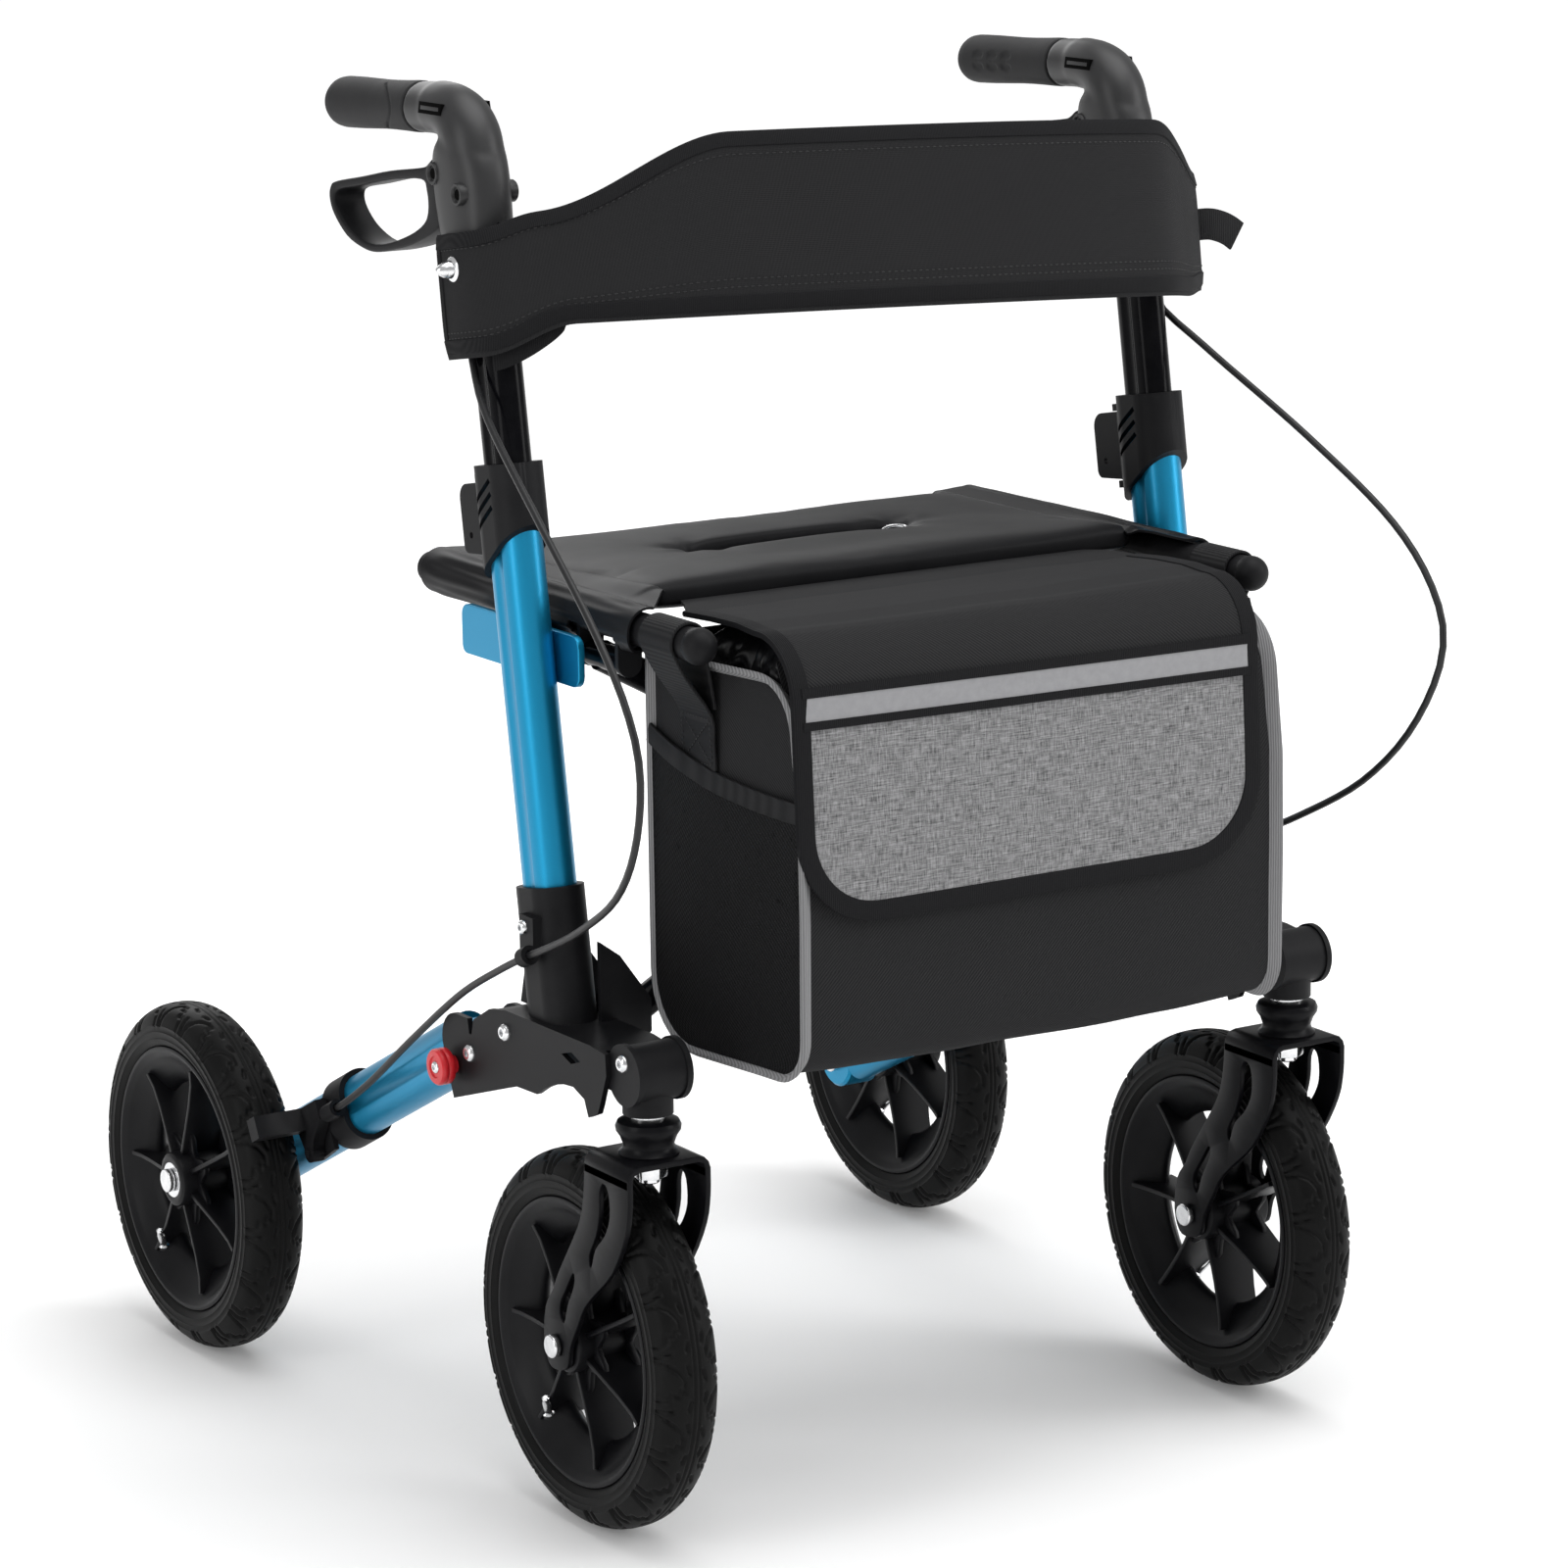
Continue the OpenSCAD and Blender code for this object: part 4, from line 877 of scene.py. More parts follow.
def smoothed(bm, passes=1):
    """Lets every vertex move towards its neighbours a few times."""
    for _ in range(passes):
        bmesh.ops.smooth_vert(bm, verts=bm.verts, factor=0.5, use_axis_x=True, use_axis_y=True,
                              use_axis_z=True)
    return bm


def moulded(bm, voxel, passes):
    """Melts the overlapping parts of a drawing into one smooth moulded form."""
    mesh = bpy.data.meshes.new("moulding")
    bm.to_mesh(mesh)
    bm.free()
    form = bpy.data.objects.new("moulding", mesh)
    scene.collection.objects.link(form)
    melt = form.modifiers.new("melt", "REMESH")
    melt.mode = "VOXEL"
    melt.voxel_size = voxel
    melted = bpy.data.meshes.new_from_object(form.evaluated_get(bpy.context.evaluated_depsgraph_get()))
    bpy.data.objects.remove(form)
    bm = bmesh.new()
    bm.from_mesh(melted)
    return smoothed(bm, passes)


def housing_drawing():
    """Neck, tube and screw rims of one handle."""
    bm = bmesh.new()
    swept(bm, ellipse_ring(), bend_stations(tube_line, tube_size))
    swept(bm, neck_ring(), bend_stations(neck_line, neck_size, level=True))
    bm = moulded(bm, VOXEL, SMOOTHING)
    rim = [(0, -4), (7.4, -4), (7.4, 1.6), (6.8, 2.4), (5.6, 2.4), (5.0, 1.8), (4.6, 0.6), (0, 0.6)]
    for k in (-1, 1):
        for y, z, out in screw_places:
            turned(bm, rim, (FRAME_X + k * out, y, z), (k, 0, 0), steps=32)
    return bm


print("handle helpers ready")

# %% [markdown]
# The slot on each side lies square to the tube's round face, so its small frame leans back with the face. Its
# recess is not cut: a dark plate painted as the shade inside the slot stands in for it, and a bar runs along
# its middle. Dark discs inside the screw rims are painted shade of the screw holes in the same way.

# %% Slots and screws of the handles
SLOT_LEAN, SLOT_AT = math.radians(8.0), (-71.8, 919.0)
# Dark discs painted as the shade inside the screw rims.
screw_hole_shade = [(0, 0.2), (3.6, 0.2), (3.6, 0.9), (0, 0.9)]


def slot_turn(k):
    """Frame on the tube's face: out of it, along the tube and up the face."""
    lean = Matrix.Rotation(-k * SLOT_LEAN, 4, "Y")
    mirror = Matrix.Diagonal((k, 1, 1, 1))
    return Matrix.Translation((FRAME_X, *SLOT_AT)) @ lean @ mirror


def box_outline(length, height):
    """A rectangle round the middle of the slot."""
    a, b = length / 2, height / 2
    return [(-a, -b), (a, -b), (a, b), (-a, b)]


for side, hand in SIDES.items():
    drawing = housing_drawing()
    floor = bmesh.new()
    for k in (-1, 1):
        plate(drawing, box_outline(24, 2.6), [], slot_turn(k), 16.0, 19.0, edge=0.3)
        # A dark plate painted as the shade inside the slot, and dark discs painted as the shade in the screw
        # holes.
        plate(floor, box_outline(29.5, 7.6), [], slot_turn(k), 16.0, 18.8, edge=0.1)
        for y, z, out in screw_places:
            turned(floor, screw_hole_shade, (FRAME_X + k * out, y, z), (k, 0, 0), steps=20)
    piece(f"handle_elbow_{side}", handed(drawing, hand), elbow_plastic, f"handle_{side}",
          [f"handle_housing_{side}"])
    piece(f"handle_recess_shade_{side}", handed(floor, hand), recess_shade_black, f"handle_{side}")
print("handle elbows drawn")

# %% [markdown]
# The grip is a rubber sleeve. It is turned from its profile, and the thumb dimples and the seam are sunk into
# the turned surface afterwards, as a mould would do it.

# %% Grips
GRIP_START, GRIP_AXIS = Vector((FRAME_X, -30.0, 918.8)), Vector((0, 1, -0.04)).normalized()
grip_profile = [(10.0, 0.0), (16.3, 0.0), (17.0, 0.7), (17.0, 8.0), (16.6, 20.0), (16.3, 36.0), (16.3, 50.0),
                (16.7, 66.0), (17.1, 82.0), (17.2, 95.0), (17.2, 103.0), (16.7, 108.0), (15.2, 111.6),
                (12.5, 113.8), (9.0, 114.6), (4.0, 114.8), (0.0, 114.8)]


def grip_drawing():
    """A turned grip with thumb dimples on its inner side and a curved seam on its outer side."""
    bm = bmesh.new()
    profile = [(p.x, p.y) for p in evenly([Vector((r, a, 0)) for r, a in grip_profile], 130)]
    turned(bm, profile, GRIP_START, GRIP_AXIS, steps=80)
    for vert in bm.verts:
        along = (vert.co - GRIP_START).dot(GRIP_AXIS)
        out = vert.co - GRIP_START - GRIP_AXIS * along
        angle = math.degrees(math.atan2(out.z, -out.x))
        sink = 0.0
        for row in (-14.0, 14.0):
            for k in range(3):
                far = math.hypot((angle - row) / 9.0, (along - 50.0 - 17.0 * k) / 6.0)
                sink = max(sink, 1.1 * min(max((1.15 - far) / 0.3, 0.0), 1.0))
        if out.x > 7:
            seam = abs(along - 16.0 - 0.1 * out.z * out.z)
            sink = max(sink, 1.0 * min(max(1.6 - seam, 0.0), 1.0))
        if out.length > 12:
            vert.co -= out.normalized() * sink
    return bm


for side, hand in SIDES.items():
    piece(f"grip_rubber_{side}", handed(grip_drawing(), hand), grip_rubber, f"handle_{side}",
          [f"hand_grip_{side}"], sharp=50.0)
print("grips drawn")

# %% [markdown]
# The brake lever is a moulded loop that turns on a pin in the neck. It is flat, so a plate cut to a smooth
# outline with a large hole and a pin hole gives it, and a wide bevel rounds its edges for the fingers.

# %% Brake levers
LEVER_PIVOT, LEVER_HALF, PIN_R = (-66.0, 878.0), 12.0, 3.1
lever_outline = [(-75, 874), (-74, 885), (-62, 888), (-52, 882.5), (-40, 880), (0, 875), (40, 868), (76, 862),
                 (84, 858), (86, 850), (80, 839), (62, 826), (40, 820), (22, 819), (-4, 823), (-30, 829),
                 (-60, 840), (-73, 850)]
lever_hole = [(-52, 866), (-44, 873), (0, 869), (40, 862), (72, 856.5), (79, 850), (73, 841), (58, 831.5),
              (34, 824.5), (8, 826), (-26, 835), (-46, 844), (-53, 853)]
pin_hole = [(LEVER_PIVOT[0] + PIN_R * math.cos(a), LEVER_PIVOT[1] + PIN_R * math.sin(a))
            for a in (2 * math.pi * i / 20 for i in range(20))]
for side, hand in SIDES.items():
    bm = bmesh.new()
    plate(bm, soft_outline(lever_outline, 4), [soft_outline(lever_hole, 4), pin_hole], RIGHT, -LEVER_HALF,
          LEVER_HALF, edge=1.6, segments=3)
    piece(f"lever_loop_{side}", handed(bm, hand), plastic, f"brake_lever_{side}", [f"brake_lever_{side}"])
print("brake levers drawn")

# %% [markdown]
# ## Screws and the red button
# The bright screws have a domed head with a hexagon socket. The ring between head and socket is filled, its
# outer edge is extruded down to the seat and its inner edge into the head. The red button is a turned knob
# with the same screw in its middle.

# %% Screws
def socket_screw(bm, seat, axis, head_r, head_h):
    """A domed screw head with a hexagon socket, standing on its seat."""
    out = Vector(axis).normalized()
    place = Matrix.Translation(Vector(seat)) @ out.to_track_quat("Z", "Y").to_matrix().to_4x4()
    top = place @ Matrix.Translation((0, 0, head_h))
    ring = bmesh.ops.create_circle(bm, segments=28, radius=head_r * 0.66, matrix=top)["verts"]
    key = bmesh.ops.create_circle(bm, segments=6, radius=head_r * 0.46, matrix=top)["verts"]
    loops = [list({e for v in verts for e in v.link_edges}) for verts in (ring, key)]
    bmesh.ops.triangle_fill(bm, use_beauty=True, use_dissolve=False, edges=loops[0] + loops[1])
    edges = loops[0]
    for grow, drop in ((1.32, 0.28), (1.12, 0.32), (1.02, 0.4)):
        fresh, edges = grown_edges(bm, edges)
        bmesh.ops.scale(bm, vec=(grow, grow, 1), space=top.inverted(), verts=fresh)
        bmesh.ops.translate(bm, vec=-out * head_h * drop, verts=fresh)
    bmesh.ops.edgeloop_fill(bm, edges=edges)
    fresh, floor = grown_edges(bm, loops[1])
    bmesh.ops.translate(bm, vec=-out * head_h * 0.7, verts=fresh)
    bmesh.ops.edgeloop_fill(bm, edges=floor)


BUTTON = (-80.0, 284.0)
knob = [(0, 19.5), (6, 19.5), (6, 29), (11.6, 29), (12.4, 30), (12.5, 33), (11.9, 34), (12.5, 35),
        (12.4, 37.6),
        (11.2, 39), (7.4, 39.2), (6.8, 38.2), (0, 38.2)]
for side, hand in SIDES.items():
    bm = bmesh.new()
    for y, z in ((-103, 297), (-152, 322)):
        for k in (-1, 1):
            socket_screw(bm, (FRAME_X + k * 24, y, z), (k, 0, 0), 6.0, 3.4)
    socket_screw(bm, (FRAME_X + 20, -298, 333), (1, 0, 0), 6.0, 3.2)
    socket_screw(bm, (FRAME_X + 24, -180, 399), (1, 0, 0), 5.0, 3.2)
    piece(f"bracket_screws_{side}", handed(bm, hand), steel, f"frame_{side}", [f"frame_screws_{side}"],
          sharp=35.0)
    bm = bmesh.new()
    turned(bm, knob, (FRAME_X, *BUTTON), (1, 0, 0), steps=48)
    piece(f"red_knob_{side}", handed(bm, hand), red, f"release_button_{side}", [f"release_button_{side}"])
    bm = bmesh.new()
    socket_screw(bm, (FRAME_X + 37.8, *BUTTON), (1, 0, 0), 4.4, 2.0)
    piece(f"red_knob_screw_{side}", handed(bm, hand), steel, f"release_button_{side}", sharp=35.0)
print("screws and buttons drawn")

# %% [markdown]
# ## Cloth helpers
# A sheet of cloth starts as a flat grid. Its UV map keeps the flat size in metres, and a function bends each
# point into place, so the weave stays true wherever the sheet goes. Tapes are ribbons swept along an edge,
# and a seam is a row of small round stitches.

# %% Cloth helpers
def ease(t):
    """Smooth step from 0 to 1."""
    t = min(max(t, 0.0), 1.0)
    return t * t * (3 - 2 * t)


def cloth_sheet(columns, rows, place, flat):
    """A grid bent by place(u, v), with flat(u, v) in millimetres as its UV map."""
    bm = bmesh.new()
    flat_map = bm.loops.layers.uv.new("flat")
    bmesh.ops.create_grid(bm, x_segments=columns, y_segments=rows, size=1.0)
    half = max(v.co.x for v in bm.verts)
    spot = {v: ((v.co.x / half + 1) / 2, (v.co.y / half + 1) / 2) for v in bm.verts}
    for face in bm.faces:
        for loop in face.loops:
            loop[flat_map].uv = Vector(flat(*spot[loop.vert])) * MM
    for vert, (u, v) in spot.items():
        vert.co = place(u, v)
    return bm


def thicken(bm, thickness):
    """Gives a sheet its thickness behind its face."""
    bmesh.ops.solidify(bm, geom=bm.faces[:], thickness=thickness)
    return bm


def ribbon(bm, path, inwards, normals, width, thick, over=1.0):
    """A folded tape along a path: it lies over the edge and reaches inwards."""
    half = thick / 2
    upper = [(-over * 0.6, half * 0.8), (over, half), (width - 1, half * 0.9), (width, half * 0.3)]
    section = [(-over, 0.0)] + upper + [(a, -b) for a, b in reversed(upper)]
    stations = []
    for i, (at, inward, normal) in enumerate(zip(path, inwards, normals)):
        ahead = ahead_at(path, i)
        inward = (inward - ahead * inward.dot(ahead)).normalized()
        face = ahead.cross(inward).normalized()
        face = face if face.dot(normal) > 0 else -face
        stations.append(axes_at(at, inward, face, ahead))
    swept(bm, [Vector((a, b, 0)) for a, b in section], stations)
    return bm


def stitches(bm, path, normals, pitch=4.4, length=2.9, radius=0.5):
    """A row of stitches along a path on a sheet."""
    count = max(int(line_length(path) / pitch), 1)
    places = evenly(path, count * 2)
    for i in range(1, count * 2, 2):
        ahead = ahead_at(places, i)
        normal = normals[min(int(i / (count * 2) * len(normals)), len(normals) - 1)]
        side_on = ahead.cross(normal).normalized()
        size = Matrix.Diagonal((length / 2, radius, radius * 0.8, 1))
        place = axes_at(places[i], ahead, side_on, side_on.cross(ahead)) @ size
        bmesh.ops.create_icosphere(bm, subdivisions=1, radius=1.0, matrix=place)


def wrinkle(point, size, depth, seed=0.0):
    """A soft random rise or fall of cloth."""
    return depth * noise.noise(Vector((point.x / size, point.y / size, point.z / size + seed)))


def gathers(pieces):
    """Gives each piece of cloth a mesh of its own."""
    for made in pieces:
        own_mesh(made)


print("cloth helpers ready")

# %% [markdown]
# ## Back band
# The band is foam-backed knit, cut deeper in the middle than at its ends and bound with tape at both edges.
# It lies tight round the left post, bows forward and turns back in front of the right one. It is a sheet bent
# along that line in the leaning frame of the posts.

# %% Back band
band_frame = Matrix.Translation((0, POST_FOOT_Y, 0)) @ Matrix.Rotation(math.radians(-POST_TILT), 4, "X")
band_route = [(-279, 22), (-279, -6), (-271, -26), (-240, -46), (-190, -72), (-131, -98), (-60, -120),
              (20, -134), (90, -139), (150, -136), (192, -125), (230, -94), (262, -62), (277, -44),
              (281, -20), (279, 22)]
PLAN_STEPS, BAND_DROOP, BAND_TALL, BAND_THICK, BAND_KEEP = 160, 0.045, 112.0, 4.0, 0.724
plan = evenly(smooth_line([Vector((x, y, 0)) for x, y in band_route], 10), PLAN_STEPS)
BAND_LONG = line_length(plan)


def band_spot(u):
    """Place on the band's line at a share of its length, and the direction out of its face."""
    k = min(int(u * PLAN_STEPS), PLAN_STEPS - 1)
    ahead = (plan[k + 1] - plan[k]).normalized()
    return plan[k].lerp(plan[k + 1], u * PLAN_STEPS - k), Vector((ahead.y, -ahead.x, 0))


def band_low(x):
    """Height of the lower edge."""
    drop = 18 * ease((-x - 225) / 54) if x < 0 else -5 * ease((x - 225) / 54)
    return 783 - BAND_DROOP * x - drop


def band_high(x):
    """Height of the upper edge, with a shoulder towards each end."""
    left = 45 * ease((-x - 125) / 120) + 10 * ease((-x - 240) / 39)
    return 896 - BAND_DROOP * x - (left if x < 0 else 32 * ease((x - 188) / 91))


def band_at(u, v, lift=0.0):
    """A point of the band: u along it from the left, v up it, lifted off its face."""
    p, out = band_spot(u)
    low, high = band_low(p.x), band_high(p.x)
    puff = 1.6 * (1 - (2 * v - 1) ** 6)
    flat = Vector((p.x, p.y, low + (high - low) * v)) + out * (puff + lift)
    flat += out * wrinkle(flat, 60.0, 1.0)
    return band_frame @ flat


def band_normal(u, v):
    """Direction out of the band's face."""
    d = 0.004
    along = band_at(min(u + d, 1), v) - band_at(max(u - d, 0), v)
    up = band_at(u, min(v + d, 1)) - band_at(u, max(v - d, 0))
    return along.cross(up).normalized()


band_sheet = cloth_sheet(PLAN_STEPS, 26, band_at, lambda u, v: (u * BAND_LONG, v * BAND_TALL))
thicken(band_sheet, BAND_THICK)
band = piece("band_foam", band_sheet, knit, "handle_left", ["backrest_band"], closed=False)
print("band is", round(BAND_LONG), "mm long")

# %% [markdown]
# The tape folds over each edge, and a row of stitches holds its inner side.

# %% Band edges
MID_FOAM, EDGE_THICK = -BAND_THICK / 2, 6.2
us = [i / PLAN_STEPS for i in range(PLAN_STEPS + 1)]
vs = [i / 20 for i in range(21)]
trim = bmesh.new()
for v, way in ((0.0, 1), (1.0, -1)):
    path = [band_at(u, v, MID_FOAM) for u in us]
    inwards = [(band_at(u, v + 0.05 * way) - band_at(u, v)) for u in us]
    ribbon(trim, path, inwards, [band_normal(u, v + 0.02 * way) for u in us], 10.0, EDGE_THICK)
for u, way in ((0.0, 1), (1.0, -1)):
    path = [band_at(u, v, MID_FOAM) for v in vs]
    inwards = [(band_at(u + 0.01 * way, v) - band_at(u, v)) for v in vs]
    ribbon(trim, path, inwards, [band_normal(u + 0.01 * way, v) for v in vs], 6.0, EDGE_THICK)
band_trim = piece("band_edges", trim, edge_tape, "handle_left")
seams = bmesh.new()
for v in (0.125, 0.17, 0.875):
    stitches(seams, [band_at(u, v, 0.2) for u in us], [band_normal(u, v) for u in us])
band_seams = piece("band_stitches", seams, thread, "handle_left", closed=False)
print("band bound with", len(band_trim.data.polygons), "faces of tape")

# %% [markdown]
# The left end comes round the post and ends in a round tab behind the band. On the right the end of the
# webbing sticks out past the band.

# %% Tab, tail and stud of the band
def tab_at(a, b):
    """A point of the tab: a along it, b up it from its round lower edge."""
    p, out = band_spot(0.06 + 0.075 * a)
    low = band_low(p.x)
    drop = 11 * math.sqrt(max(1 - max((a - 0.45) / 0.55, 0.0) ** 2, 0.0))
    return band_frame @ (Vector((p.x, p.y, low - drop + (drop + 26) * b)) - out * 6.5)


tab_sheet = cloth_sheet(28, 10, tab_at, lambda u, v: (u * 55, v * 38))
tab = piece("band_tab", thicken(tab_sheet, 3.0), edge_tape, "handle_left", closed=False)
TAIL_W, TAIL_THICK, TAIL_TWIST = 21.0, 2.2, 0.5
tail_line = [(272, -28, 826), (283, -38, 827), (294, -41, 826.5), (305, -41, 823.5), (314, -40, 819.5),
             (321, -39, 815)]
tail_path = [band_frame @ p for p in smooth_line(tail_line, 6)]
shares = [i / (len(tail_path) - 1) for i in range(len(tail_path))]
tail_down = [band_frame.to_3x3() @ Vector((-TAIL_TWIST * ease(share), 0.1, -1)) for share in shares]
tail_out = [Vector((-0.3, -1, 0))] * len(tail_path)
bm = ribbon(bmesh.new(), tail_path, tail_down, tail_out, TAIL_W, TAIL_THICK, over=0.8)
tail = piece("band_tail", bm, webbing, "handle_left")
gathers((band, band_trim, band_seams, tab, tail))
STUD_U, STUD_V = 0.029, 0.71
stud = [(0, -1), (8.2, -1), (8.2, 0.6), (7.2, 1.6), (6.0, 2.0), (5.8, 4.6), (5.4, 5.2), (5.2, 6.4),
        (3.8, 9.4), (1.6, 12.0), (0, 12.6)]
stud_at = band_at(STUD_U, STUD_V)
bm = turned(bmesh.new(), stud, stud_at, band_normal(STUD_U, STUD_V), steps=32)
piece("band_stud", bm, steel, "handle_left")
print("stud at", [round(c) for c in stud_at])

# %% [markdown]
# ## Seat
# The seat is a foam-filled sling of coated cloth between two rails, with a hand slot that pulls it up to fold
# the frame. The pad starts as a grid, loses the faces of the slot, is extruded to a closed form and swells a
# little in a cloth simulation, which rounds its edges as real filling does. Swelling closes the slot a
# little, so it is cut wider than it ends up.

# %% Seat pad
SEAT_HALF, SEAT_FRONT, SEAT_BACK = 199.0, -209.0, 35.0
SEAT_BASE, SEAT_TOP, RAIL_Z, BRACE_X = 592.5, 611.5, 597.0, 217.0
SLOT_Y, SLOT_STRAIGHT, SLOT_R = -75.0, 75.0, 13.0
EDGE_R, CORNER_IN, FRONT_RISE, SWELL_ROOM, SEAT_KEEP = 7.0, 18.0, 6.0, 3.5, 0.675
seat_mid, seat_deep = (SEAT_FRONT + SEAT_BACK) / 2, (SEAT_BACK - SEAT_FRONT) / 2


def front_rise(y):
    """How far the pad rises towards its front edge."""
    return FRONT_RISE * ease((SLOT_Y - y) / (SLOT_Y - SEAT_FRONT))


def seat_height(x, y):
    """Height of the cushion's upper face before it swells: flat, with a round front and back edge."""
    u, v = x / SEAT_HALF, (seat_mid - y) / seat_deep
    near = max(abs(y - seat_mid) - (seat_deep - EDGE_R), 0.0) / EDGE_R
    drop = EDGE_R * (1 - math.sqrt(max(1 - near * near, 0.0)))
    sink = math.exp(-(u * 2.2) ** 4 - ((v - 0.45) * 4) ** 2)
    return SEAT_TOP + front_rise(y) + 2.5 * (1 - u * u) * (1 - v * v) - 1.6 * sink - drop


def round_corner(x, y):
    """Draws a point of the pad's grid in at the corners, so that they are round from above."""
    dx = max(abs(x) - (SEAT_HALF - CORNER_IN), 0.0) / CORNER_IN
    dy = max(abs(y - seat_mid) - (seat_deep - CORNER_IN), 0.0) / CORNER_IN
    x -= math.copysign(dx - dx * math.sqrt(1 - dy * dy / 2), x) * CORNER_IN
    y -= math.copysign(dy - dy * math.sqrt(1 - dx * dx / 2), y - seat_mid) * CORNER_IN
    return x, y


def in_slot(face):
    """Whether a face lies in the hand slot."""
    middle = face.calc_center_median()
    return math.hypot(max(abs(middle.x) - SLOT_STRAIGHT, 0), middle.y - SLOT_Y) < SLOT_R


bm = bmesh.new()
bmesh.ops.create_grid(bm, x_segments=100, y_segments=66, size=1.0)
half = max(v.co.x for v in bm.verts)
for vert in bm.verts:
    u, v = vert.co.x / half, vert.co.y / half
    x, y = round_corner(u * (SEAT_HALF - SWELL_ROOM), seat_mid + v * (seat_deep - SWELL_ROOM))
    vert.co = Vector((x, y, seat_height(x, y)))
bmesh.ops.delete(bm, geom=[f for f in bm.faces if in_slot(f)], context="FACES")
loose = [v for v in bm.verts if not v.link_faces]
bmesh.ops.delete(bm, geom=loose, context="VERTS")
grown = bmesh.ops.extrude_face_region(bm, geom=bm.faces[:])["geom"]
for vert in new_verts(grown):
    vert.co.z = SEAT_BASE + 1.5 + 1.4 * front_rise(vert.co.y)
seat = piece("seat_cushion", bm, vinyl, None, ["seat_pad"], sharp=180.0)
print("seat starts with", len(seat.data.polygons), "faces")

# %% [markdown]
# The filling is air pressure in a cloth simulation without gravity. Each vertex may move a little only, so
# the pad keeps its place between its neighbours, and the result is kept in the mesh. The pulls at the ends of
# the slot are drawn in afterwards, and a bent wire stands up at one of them.

# %% Swelling the pad
VOXEL_PAD, PRESSURE, SWELL_CAP, PULL_AT = 5.0, 4.0, 2.5, 80.0


def swell(made, voxel_mm, pressure, cap_mm):
    """Lets a closed cloth form swell under pressure, and keeps the result in its mesh."""
    shell = made.modifiers.new("even_cloth", "REMESH")
    shell.mode = "VOXEL"
    shell.voxel_size = voxel_mm * MM
    shell.use_smooth_shade = True
    mesh = bpy.data.meshes.new_from_object(made.evaluated_get(bpy.context.evaluated_depsgraph_get()))
    made.modifiers.clear()
    made.data = mesh
    start = [v.co.copy() for v in mesh.vertices]
    cloth = made.modifiers.new("filling", "CLOTH")
    cloth.settings.quality = 5
    cloth.settings.use_pressure = True
    cloth.settings.uniform_pressure_force = pressure
    cloth.settings.tension_stiffness = 30.0
    cloth.settings.compression_stiffness = 30.0
    cloth.settings.bending_stiffness = 2.0
    cloth.settings.effector_weights.gravity = 0.0
    for step in range(1, 21):
        scene.frame_set(step)
    swollen = made.evaluated_get(bpy.context.evaluated_depsgraph_get())
    moved = [v.co.copy() for v in swollen.data.vertices]
    made.modifiers.clear()
    scene.frame_set(1)
    for vert, was, now in zip(mesh.vertices, start, moved):
        shift = now - was
        if shift.length > cap_mm * MM:
            shift *= cap_mm * MM / shift.length
        vert.co = was + shift


swell(seat, VOXEL_PAD, PRESSURE, SWELL_CAP)
bm = bmesh.new()
bm.from_mesh(seat.data)
smoothed(bm)
bmesh.ops.subdivide_edges(bm, edges=bm.edges, cuts=1, use_grid_fill=True)
smoothed(bm)
for vert in bm.verts:
    x, y, z = vert.co / MM
    if z > RAIL_Z:
        pull = 0.0
        for end in (-PULL_AT, PULL_AT):
            far = math.hypot(x - end, y - SLOT_Y)
            ray = math.cos(5 * math.atan2(y - SLOT_Y, x - end))
            pull += (2.6 + 1.2 * ray) * math.exp(-(far / 26.0) ** 2)
        vert.co.z -= (pull + wrinkle(Vector((x, y, 0)), 70.0, 0.8)) * MM
bm.to_mesh(seat.data)
bm.free()
seat.data.materials.clear()
seat.data.materials.append(vinyl)
for face in seat.data.polygons:
    face.use_smooth = True
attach(seat, "seat_rail_left")
WIRE_D = 2.0
wire_line = [(66, -78, 608), (70, -79, 612.5), (76, -83, 614), (79, -90, 614), (75, -95, 613.6),
             (67, -95, 613.4)]
wire = cable_run("slot_wire", wire_line, steel, WIRE_D)[0]
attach(wire, "seat_rail_left")
gathers((seat, wire))
print("seat has", len(seat.data.polygons), "faces")

# %% [markdown]
# ## Rail sleeves
# The seat cloth runs on round each rail as a sewn sleeve. It is looser than the rail, so it shows long folds.
# It is open below where the brace hangs from the rail.

# %% Rail sleeves
SLEEVE_FRONT, SLEEVE_BACK, SLEEVE_R, SLEEVE_FLAT = -240.0, 37.0, 15.75, (108.0, 250.0)
FLANGE_W, FLANGE_SHARE, FLANGE_TOP = 29.0, 0.26, 612.2
BRACE_GAP = (-219.0, -161.0)


def sleeve_at(u, v):
    """A point of the sleeve: u from its seam flange on the pad round the rail, v along it."""
    reach = max(1 - u / FLANGE_SHARE, 0.0)
    front = SLEEVE_FRONT + (SEAT_FRONT + 3 - SLEEVE_FRONT) * reach + 14 * ease((u - 0.5) / 0.4)
    y = front + (SLEEVE_BACK - front) * v
    held = ease(v * 12) * ease((1 - v) * 12)
    if reach > 0:
        x = BRACE_X - 4.1 - FLANGE_W * reach
        on_pad = seat_height(x, min(max(y, SEAT_FRONT + 3), SEAT_BACK - 3)) + 0.8 - 2.6 * ease(5 * reach - 4)
        return Vector((x, y, FLANGE_TOP + (on_pad - FLANGE_TOP) * ease(1.3 * reach)))
    a = math.radians(105 - 285 * (u - FLANGE_SHARE) / (1 - FLANGE_SHARE))
    fold = 0.45 * math.cos(7 * a + 0.02 * y) + 0.35 * math.cos(12 * a - 0.03 * y)
    fold += 0.7 * noise.noise(Vector((3 * math.cos(a), 3 * math.sin(a), y / 45)))
    r = SLEEVE_R + fold * held
    return Vector((BRACE_X + r * math.cos(a), y, RAIL_Z + r * math.sin(a)))


def over_brace(face):
    """Whether a face lies below the rail, where the brace hangs from it."""
    middle = face.calc_center_median()
    return middle.z < RAIL_Z - 3 and BRACE_GAP[0] < middle.y < BRACE_GAP[1]


